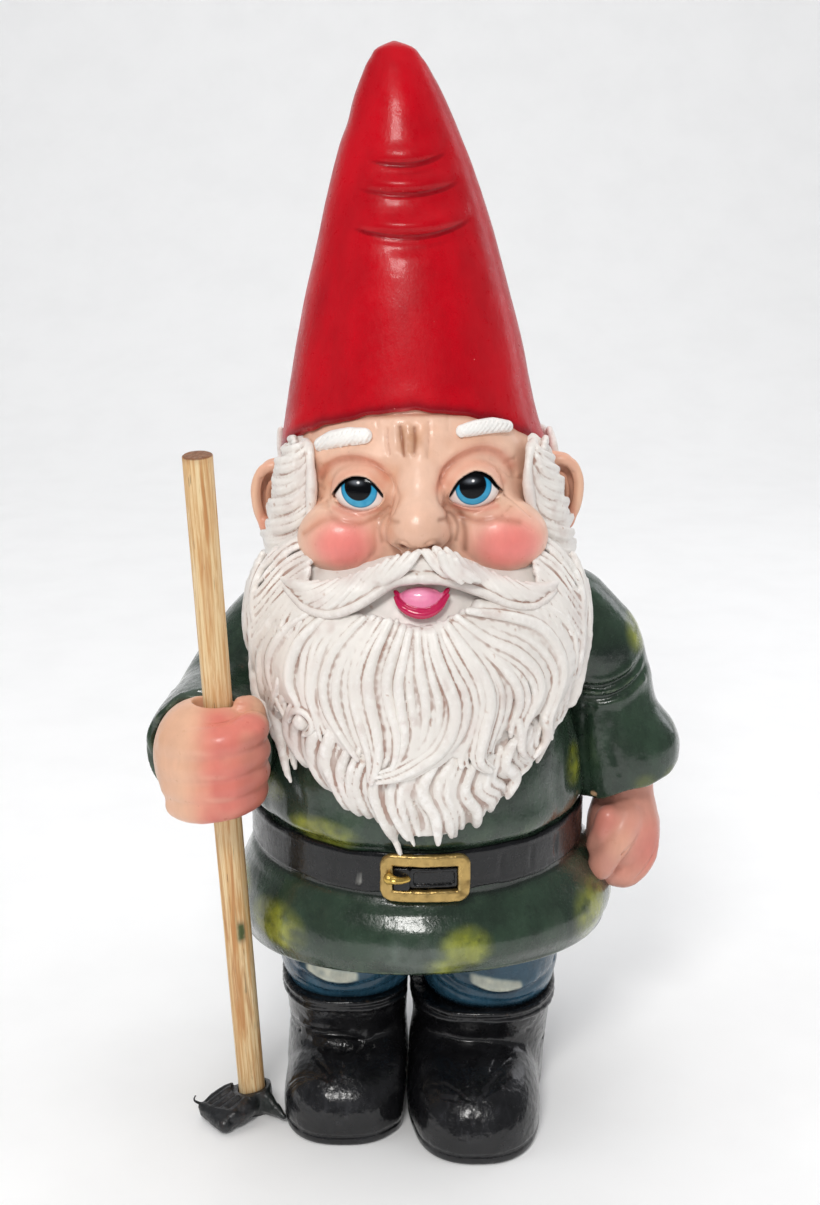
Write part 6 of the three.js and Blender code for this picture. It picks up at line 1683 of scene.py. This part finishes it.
def build_beard():
    f = Field((-80, -97, 147), (80, -1, 292), 0.98)
    t = BEARD.copy()
    t[:, 4] -= 2.6 * ramp(t[:, 0], 248, 262)
    f.loft(t, grow=-2.8)
    # under layer: locks that run out to the ragged outline
    for j in range(len(UNDER) - 1):
        sheet(f, UNDER[j], UNDER[j + 1], 3.3, -0.6, -0.6, 3 * j + 1, close=0.34, size=1.1, n_pt=18, crown=1.0)
    # cheeks and chin sides, strands running back towards the ears
    for s in (-1, 1):
        for j in range(13):
            th0 = math.radians(64 + 5.6 * j)
            for i in range(2):
                pts = []
                for u in np.linspace(0, 1, 18):
                    z = 276 - 4 * j + (-(48 + 6 * math.sin(j * 1.7))) * u
                    th = s * (th0 + math.radians(2.6) * i * (1 - u**2) + 0.11 * math.sin(4.8 * u + j))
                    q = on_ring(BEARD, np.array([th]), np.array([min(max(z, 158), 285.5)]), -1.1 + 0.6 * (1 - i) + 0.5 * math.sin(5 * u + 2 * j))[0]
                    q[2] = z
                    pts.append(q)
                f.line(np.array(pts), taper(18, (2.5, 1.6)[i], 0.7, 0.4), k=0.4)
    for s in (-1, 1):
        for i in range(8):
            a = (s * (45.5 + 0.5 * i) + 2, 285.0 - 2.4 * i)
            b = (s * (57 + 0.4 * i) + 1, 279 - 3.4 * i + 1.2 * (i % 2))
            c = (s * (69.5 + 0.5 * i), 266 - 4.2 * i)
            f.line(on_beard(resample([a, b, c], 14), 0.5 + 0.7 * (i % 2)), taper(14, 2.1 - 0.5 * (i % 2), 0.7, 0.5), k=0.4)
        for i in range(11):
            u = i / 10
            a = (s * (42 + 11 * u) + 2, 267 - 2.5 * u)
            b = (s * (48 + 14 * u) + 1, 258 - 2 * u)
            c = (s * (52 + 17 * u), 246 - 2 * u + 3 * math.sin(2 * i))
            f.line(on_beard(resample([a, b, c], 14), 0.6 + 0.6 * (i % 2)), taper(14, 1.9 - 0.5 * (i % 2), 0.7, 0.5), k=0.4)
    mouth_hollow(f)
    v, q = f.mesh()
    v = v + vertex_normals(v, q) * (0.16 * noise(v * [1, 1, 0.6], 3.4, 201, 2))[:, None]
    print("beard under", len(q))
    make_object("beard_under", v, q, "figure", "beard", M["hair"], {"cav": cavity(v, q, 6)}, hair_colour(v, 202))

    # over layer: long S-shaped locks from below the lip
    lifts = [0.0, 0.6, 0.3, 1.0, 0.8, 1.9, 1.4, 3.4, 2.6, 0.8, 2.0, 0.5, 0.0]
    for name, js, lo, hi in (("beard_over_right", range(0, 6), (-78, -98, 182), (4, -10, 272)), ("beard_over_left", range(6, 12), (-22, -99, 182), (80, -10, 272))):
        f = Field(lo, hi, 0.64)
        for j in js:
            for p, w in ((OVER[j], 0), (OVER[j + 1], 0)):
                c = on_beard(resample(p, 16), -4.0)
                f.line(c[1:-1], 3.4, k=2.4)
        for j in js:
            a, b = resample(OVER[j], 16), resample(OVER[j + 1], 16)
            for w in (0.0, 0.33, 0.67, 1.0):
                f.line(on_beard(a * (1 - w) + b * w, lifts[j] * (1 - w) + lifts[j + 1] * w - 3.9)[1:-3], 3.2, k=2.4)
        for j in js:
            sheet(f, OVER[j], OVER[j + 1], 3.2, lifts[j], lifts[j + 1], 5 * j + 2, crown=1.25)
        if name.endswith("right"):
            # the curled nub at the side
            c = on_beard(np.array([(-50.2, 209.0)]), 0.9)[0]
            f.ball(c, (3.7, 2.8, 3.5), k=0.4)
            ring = [(-55.5, 208.0), (-53.6, 213.2), (-49.2, 214.6), (-45.2, 211.4), (-45.6, 206.2), (-49.2, 203.4)]
            f.line(on_beard(resample(ring, 20), 1.5), taper(20, 1.7, 0.7, 0.5), k=0.4)
        else:
            # the lock that swings to the gnome's right across the middle, and the hollow at the other side
            for dx, dz, r in ((0, 0, 2.3), (-3.4, 1.4, 1.8), (-6.4, 2.6, 1.5)):
                p = resample([(x + dx * u, z + dz * u) for (x, z), u in zip(OVER[7], np.linspace(0.5, 1, 9))], 30)
                f.line(on_beard(p, np.linspace(1.2, 3.6, 30) - 0.25 * abs(dx)), taper(30, r, 0.7, 0.35), k=0.35)
            f.ball(on_beard(np.array([(49.5, 201.5)]), 1.5)[0], (5.6, 5.5, 7.6), "cut", k=1.2)
            for p, r in (([(43.0, 212.0), (44.0, 205), (44.4, 198), (47.6, 192.6)], 1.9), ([(54.6, 209.5), (55.8, 203), (55.0, 197), (50.8, 192.0)], 2.0)):
                f.line(on_beard(resample(p, 18), 2.2), taper(18, r, 0.8, 0.5), k=0.5)
        mouth_hollow(f)
        v, q = f.mesh()
        v = v + vertex_normals(v, q) * (0.14 * noise(v * [1, 1, 0.6], 3.0, 205, 2))[:, None]
        print(name, len(q))
        tint = hair_colour(v, 206)
        if name.endswith("left"):
            # painted shade in the hollow beside the swinging lock
            tint = mix(tint, rgb(172, 140, 108), 0.8 * np.clip(1.3 * blob(v, (49.5, -62, 202), (8, 20, 9)) * (0.6 + 0.6 * noise(v, 3, 207, 2)), 0, 1))
        make_object(name, v, q, "figure", None, M["hair"], {"cav": cavity(v, q, 6)}, tint)


def build_moustache():
    f = Field((-60, -86, 246), (64, -38, 292), 0.5)
    L = {"up": [(0.2, 284.2), (-9, 281.6), (-19.5, 275.4), (-30, 270.6), (-41, 267.8), (-54.0, 266.4)], "low": [(-1.0, 271.4), (-9, 269.8), (-16, 265.4), (-26, 259.2), (-37, 255.2), (-48, 256.4), (-58, 263.6)]}
    R = {"up": [(2.6, 284.4), (10.5, 285.4), (18.6, 280.0), (28.5, 273.8), (41, 268.2), (58.4, 263.8)], "low": [(2.0, 271.4), (9, 270.8), (17, 268.0), (28, 263.8), (40, 258.4), (51, 257.0), (60, 261.8)]}

    def depth(x, z=262.0):
        a = abs(x - 1.0) / 56.0
        return min(-72.5 + 30.0 * a**1.9, on_beard(np.array([(x, z)]), 0.4)[0, 1])

    for side in (L, R):
        up, low = resample(side["up"], 40), resample(side["low"], 40)
        core = (up + low) / 2
        half = np.linalg.norm(up - low, axis=1) / 2
        c = np.stack([core[:, 0], [depth(x, z) + 2.6 for x, z in core], core[:, 1]], 1)
        f.line(c[::2], np.clip(half[::2] * 0.62, 1.6, 4.4) * np.linspace(1, 0.7, 20), k=2)
        # the roll along the lower edge, which is later painted greyish as shade
        lw = np.stack([low[:, 0], [depth(x, z) - 1.4 for x, z in low], low[:, 1] + 1.9], 1)
        f.line(lw[::2], 2.7 * np.linspace(1.0, 0.5, 20), k=0.8)
        n = 24
        for i in range(n):
            t0 = i / (n - 1)
            a = up[int(t0 * 36)]
            b = low[min(39, int(3 + (t0**0.9) * 35 + 5.5))]
            m = (a * 0.52 + b * 0.48) + [0.0, 1.2 + 0.4 * math.sin(i * 2.1)]
            p = resample([a + [0, 0.4], m, b + [0.0, 3.4]], 14)
            bulge = np.sin(np.linspace(0.12, 1, 14) * math.pi * 0.93)
            half_i = half[int(t0 * 36)]
            y = np.array([depth(x, z) for x, z in p]) - bulge * (1.6 + 0.26 * half_i) - 0.6 - 0.7 * (i % 2)
            c = np.stack([p[:, 0], y, p[:, 1]], 1)
            f.line(c, taper(14, (1.95, 1.45)[i % 2] + 0.2 * math.sin(i * 1.3), 0.75, 0.6), k=0.3)
    # the proud lock at the right root
    for dx, rr in ((0, 2.4), (3.0, 2.2), (5.8, 2.0)):
        p = resample([(9.6 + dx, 285.0 - 0.5 * dx), (12.0 + dx, 279.6 - 0.3 * dx), (18.0 + dx * 1.3, 272.8)], 12)
        c = np.stack([p[:, 0], [depth(x) - 4.6 for x in p[:, 0]], p[:, 1]], 1)
        f.line(c, taper(12, rr, 0.8, 0.5), k=0.5)
    v, q = f.mesh()
    n = vertex_normals(v, q)
    v = v + n * (0.1 * noise(v, 2.6, 211, 2))[:, None]
    print("moustache", len(q))
    tint = hair_colour(v, 212)
    # painted shade: the lower edge of each side is painted greyer
    low = np.minimum(near_curve(v, L["low"])[0], near_curve(v, R["low"])[0])
    tint = mix(tint, rgb(196, 184, 178), 0.6 * np.exp(-((low / 2.6) ** 2)))
    make_object("moustache_locks", v, q, "figure", "moustache", M["hair"], {"cav": cavity(v, q, 7)}, tint)


def build_mouth():
    f = Field((-16, -84, 248), (20, -58, 276), 0.36)
    f.ball((1.4, -71.0, 262.8), (9.8, 5.6, 5.8), k=1)
    f.ball((0.6, -73.4, 265.4), (6.8, 3.6, 3.0), k=1.0)
    lip = bezier([(-9.4, -72.6, 264.4), (-6.8, -75.2, 261.2), (-2.0, -77.0, 258.9), (3.4, -77.4, 258.5), (8.8, -76.0, 261.0), (12.6, -73.2, 265.6)], 22)
    f.line(lip + [0, 3.0, 1.6], 0.7 + 1.45 * np.sin(np.linspace(0.12, math.pi - 0.12, 22)) ** 0.8, k=1.0)
    f.line(lip, 0.6 + 1.45 * np.sin(np.linspace(0.12, math.pi - 0.12, 22)) ** 0.8, k=0.7)
    f.line(bezier([(-5.8, -77.4, 264.4), (0.8, -78.2, 262.4), (7.4, -77.4, 264.2)], 12), 0.6, "push", amount=0.6)
    v, q = f.mesh()
    v = v + vertex_normals(v, q) * (0.08 * noise(v, 2.4, 221, 2))[:, None]
    tint = np.tile(rgb(240, 130, 172), (len(v), 1))
    tint = mix(tint, rgb(248, 176, 204), 0.7 * blob(v, (0.4, -76, 267), (6, 5, 4)))
    d = np.linalg.norm(v[:, None, :] - lip[None, :, :], axis=2)
    rr = (0.6 + 1.45 * np.sin(np.linspace(0.12, math.pi - 0.12, 22)) ** 0.8)[None, :]
    tint = mix(tint, rgb(190, 14, 78), ramp((d - rr).min(1), 1.0, 0.45))
    tint = mix(tint, rgb(190, 14, 78), ramp(np.abs(v[:, 0] - 1.5), 8.6, 9.6))
    make_object("mouth_lips", v, q, "figure", "mouth", M["lip"], {"cav": cavity(v, q, 5)}, tint)


def build_side_hair():
    for node, s in (("side_hair_right", -1), ("side_hair_left", 1)):
        left = s > 0
        f = Field((-82, -56, 240) if s < 0 else (34, -56, 240), (-34, 26, 336) if s < 0 else (84, 26, 336), 0.56)

        def P(x, y, z):
            return np.array([s * x, y, z])

        # the body of the hair over the temple, thickest below the ear
        f.line([P(50, -20, 320), P(53, -18, 314), P(54, -17, 302), P(55.5, -18, 286), P(58, -19, 272), P(60, -20, 256)], [4.0, 5.6, 7.0, 7.8, 8.6, 10.0], k=4)
        f.line([P(50, -4, 314), P(54, -2, 304), P(56, 0, 290), P(58.5, 0, 272), P(62, -4, 256)], [4, 6, 7, 7.6, 8.6], k=4)
        # smooth inner band beside the face
        dx = 1.8 if left else 0.0
        band = [P(48.5 + dx, -29, 321.5), P(46.6 + dx, -34.8, 318), P(45.8 + dx, -38.0, 306), P(46.4 + dx * 2, -40.2, 292), P(48.6 + dx * 2.4, -42.0, 279), P(51 + dx * 2, -44, 264)]
        bz = bezier(band, 40)
        f.line(bz[::2], [2.2 + 0.4 * math.sin(i * 0.9) for i in range(20)], k=1.0)
        rng = np.random.default_rng(31 + s)
        # tufts like feathers, each laid over the one below it
        rows = 15
        for i in range(rows - 1, -1, -1):
            t = i / (rows - 1)
            z0 = 320 - 61 * t
            root = bz[int(np.clip((327 - z0) / 63 * 39, 0, 39))] + P(0.8, 1.2, 0)
            droop = (11.0 if left else 6.5) + 4 * t
            xt = np.interp(z0 - droop, [250, 261, 273, 285, 302, 312, 326], [74.6, 72.4, 70.4, 68.0, 65.6, 59.5, 56.0] if not left else [74.8, 73.4, 72.0, 70.4, 64.5, 58.6, 54.0]) + rng.uniform(-1.6, 1.4)
            tip = P(xt, -9 - 5 * t + rng.uniform(-2, 2), z0 - droop + (2.0 if i % 3 == 0 else -1.0))
            out = 1.6 + 1.0 * (i % 2)
            for j in range(4):
                w = (j - 1.5) / 1.5
                spread = 3.0 * w
                a = root + P(0, 0, -2.0 * w)
                m1 = P(52.0 + 1.5 * t + 0.5 * j + 0.3 * out, -32.0 - 2.0 * t - out, z0 - 0.30 * droop - spread * 0.8)
                m2 = P((xt + 53.0) / 2 + 2.0 + 0.5 * out, -22 - 5.0 * t - 1.2 * (1 - abs(w)) - out, z0 - 0.78 * droop - spread * 0.75)
                e = tip + P(-0.6 * abs(w), 1.2 * abs(w), 1.0 - spread * 0.28)
                c = resample([a, m1, m2, e], 16)
                f.line(c, taper(16, (1.7, 1.15, 1.5, 1.1)[j], 0.75, 0.4), k=0.25)
            # second rank, running back over the ear's root
            tip2 = tip + P(-4.5, 14, -1.5)
            for j in range(3):
                w = j - 1
                c = resample([root + P(6, 8, -2 * w), P(56.5 + 2 * t, -10, z0 - 0.5 * droop - 2.4 * w), tip2 + P(0, 0, -1.5 * w)], 12)
                f.line(c, taper(12, (1.9, 1.3, 1.7)[j], 0.8, 0.35), k=0.3)
        v, q = f.mesh()
        v = v + vertex_normals(v, q) * (0.12 * noise(v, 2.8, 231, 2))[:, None]
        print(node, len(q))
        tint = hair_colour(v, 232 + s)
        for c, r in (((53, -30, 312), 4.0), ((52, -32, 303), 3.0), ((62, -18, 281), 4.0)) if s < 0 else (((66, -14, 279), 4.5), ((64, -16, 266), 4.0)):
            tint = mix(tint, rgb(186, 148, 116), 0.6 * np.clip(blob(v, P(*c), r) * 1.5, 0, 1) * (0.5 + 0.6 * noise(v, 2, 235, 2)))
        make_object(node.replace("side_hair", "sideburn"), v, q, "figure", node, M["hair"], {"cav": cavity(v, q, 6)}, tint)


def build_back_hair():
    f = Field((-74, -8, 238), (74, 76, 324), 0.98)
    t = HEAD.copy()
    t = t[(t[:, 0] <= 322)]
    t[:, 0] = np.where(t[:, 0] < 250, 248, t[:, 0])
    t[0, 3:6] = [52, 50, 52]
    f.loft(t, grow=2.4)
    sl, x, y, z = f.all()
    f.d[:] = smax(f.d, (-1.5 - y).astype(F32) + 0 * f.d, 3.0)
    f.d[:] = smax(f.d, ((243.5 + 0 * z) - z).astype(F32) + 0 * f.d, 3.0)
    f.d[:] = smax(f.d, (z - 318).astype(F32) + 0 * f.d, 3.0)
    rng = np.random.default_rng(77)
    # three ranks of falling locks, the upper over the lower
    for rank, (z_top, z_low, n, lift) in enumerate(((282, 243.5, 15, 5.0), (304, 258, 14, 6.4), (316, 276, 13, 7.2))):
        for i in range(n):
            a0 = math.radians(98) + math.radians(164) * (i + 0.5 * (rank % 2)) / (n - 1)
            if a0 > math.radians(263) or (rank == 2 and abs(a0 - math.pi) > math.radians(70)):
                continue
            sway = rng.uniform(-0.11, 0.11)
            tip = a0 + sway * 1.4
            low = z_low + rng.uniform(-1.5, 5)
            for j in range(5):
                w = (j - 2) / 2
                pts, rr = [], []
                for u in np.linspace(0, 1, 18):
                    th = a0 + w * 0.105 * (1 - u**3) + (tip - a0) * u**2 + 0.05 * math.sin(6.0 * u + i * 1.7 + rank)
                    z = z_top - (z_top - low) * u - 2.2 * abs(w) * (u - 1)
                    q = on_ring(HEAD, np.array([th]), np.array([max(z, 250.0)]), lift + 0.9 * (1 - w * w) + 1.2 * math.sin(math.pi * u) + (2.4 * ramp(z, 256, 246) if z < 256 else 0))[0]
                    q[2] = z
                    pts.append(q)
                strand(f, np.array(pts), taper(18, 2.35, 0.7, 0.34), 0.5)
    v, q = f.mesh()
    v = v + vertex_normals(v, q) * (0.14 * noise(v * [1, 1, 0.6], 3.4, 241, 2))[:, None]
    print("back hair", len(q))
    make_object("back_locks", v, q, "figure", "back_hair", M["hair"], {"cav": cavity(v, q, 7)}, hair_colour(v, 242))


# ==== making the pieces =================================================================
for _name, _build in (
    ("hat", build_hat), ("tunic", build_tunic), ("belt", build_belt), ("buckle", build_buckle), ("staff", build_staff), ("tool", build_tool),
    ("boots", build_boots), ("trousers", build_trousers), ("sleeve_right", build_sleeve_right), ("sleeve_left", build_sleeve_left),
    ("hand_right", build_hand_right), ("hand_left", build_hand_left),
    ("back_hair", build_back_hair),
    ("side_hair", build_side_hair),
    ("mouth", build_mouth),
    ("moustache", build_moustache),
    ("beard", build_beard),
    ("brows", build_brows),
    ("ears", build_ears),
    ("eyes", build_eyes),
    ("head", build_head),
):
    if want(_name):
        _build()


# ---- floor, light and camera -----------------------------------------------------------
def plain(name, colour, rough):
    n = Nodes(name)
    c = n.mixc(tuple(rgb(*colour)), tuple(rgb(*(k - 3 for k in colour))), n.map(n.noise(60.0, 3.0), 0.3, 0.7))
    n.link(c, n.b.inputs["Base Color"])
    n.b.inputs["Roughness"].default_value = rough
    n.b.inputs["Specular IOR Level"].default_value = 0.15
    return n.m


def build_stage():
    """A pale floor that curves up far behind into a pale backdrop."""
    prof = [(-2.2, 0.0), (1.2, 0.0)] + [(1.2 + 0.9 * math.sin(a), 0.9 - 0.9 * math.cos(a)) for a in np.linspace(0, math.pi / 2, 14)[1:]] + [(2.1, 3.2)]
    xs = np.linspace(-3.2, 3.2, 9)
    v = np.array([[x, y, z] for y, z in prof for x in xs])
    me = bpy.data.meshes.new("floor")
    me.from_pydata(v.tolist(), [], grid_quads(len(xs), len(prof), False).tolist())
    me.polygons.foreach_set("use_smooth", np.ones(len(me.polygons), bool))
    ob = bpy.data.objects.new("floor", me)
    bpy.context.scene.collection.objects.link(ob)
    me.materials.append(plain("pale_floor", (251, 251, 251), 0.8))


def area(name, at, to, size, power, colour=(1, 1, 1), size_y=None, shine=True):
    li = bpy.data.lights.new(name, "AREA")
    li.shape = "RECTANGLE"
    li.size, li.size_y = size, size_y or size
    li.energy, li.color = power, colour
    ob = bpy.data.objects.new(name, li)
    ob.location = at
    ob.rotation_euler = (Vector(to) - Vector(at)).to_track_quat("-Z", "Y").to_euler()
    ob.visible_glossy = shine
    bpy.context.scene.collection.objects.link(ob)


build_stage()
area("key", (-0.25, -1.15, 1.25), (0, 0, 0.25), 0.42, 10.6, (1.0, 0.985, 0.96), 0.32)
area("front", (0.1, -1.7, 0.75), (0, 0, 0.25), 1.0, 4.2, (1.0, 0.99, 0.98), 0.8, shine=False)
area("fill_left", (-1.35, -0.35, 0.7), (0, 0, 0.25), 0.9, 3.3, (0.97, 0.985, 1.0), 1.2, shine=False)
area("fill_right", (1.35, -0.2, 0.75), (0, 0, 0.25), 0.9, 2.9, (0.97, 0.985, 1.0), 1.2, shine=False)
area("floor_light", (0.0, 1.0, 2.0), (0, 1.3, 0.0), 3.2, 36.0, shine=False)
area("rim_right", (1.0, 0.7, 0.75), (0, 0, 0.3), 0.35, 1.6, (0.95, 0.95, 1.0), 0.9)
world = bpy.data.worlds.new("studio")
world.use_nodes = True
world.node_tree.nodes["Background"].inputs[0].default_value = (0.94, 0.955, 1.0, 1)
world.node_tree.nodes["Background"].inputs[1].default_value = 0.2
bpy.context.scene.world = world
bpy.context.scene.view_settings.view_transform = "Standard"

cam_data = bpy.data.cameras.new("camera")
cam_data.lens, cam_data.sensor_width, cam_data.sensor_fit = 50.79, 36.0, "AUTO"
cam_data.clip_start, cam_data.clip_end = 0.05, 20
cam = bpy.data.objects.new("camera", cam_data)
cam.location = Vector(((-3.3 + OFF[0]) / 1000, (-755.5 + OFF[1]) / 1000, 0.471))
cam.rotation_euler = (math.radians(73), 0, 0)
bpy.context.scene.collection.objects.link(cam)
bpy.context.scene.camera = cam
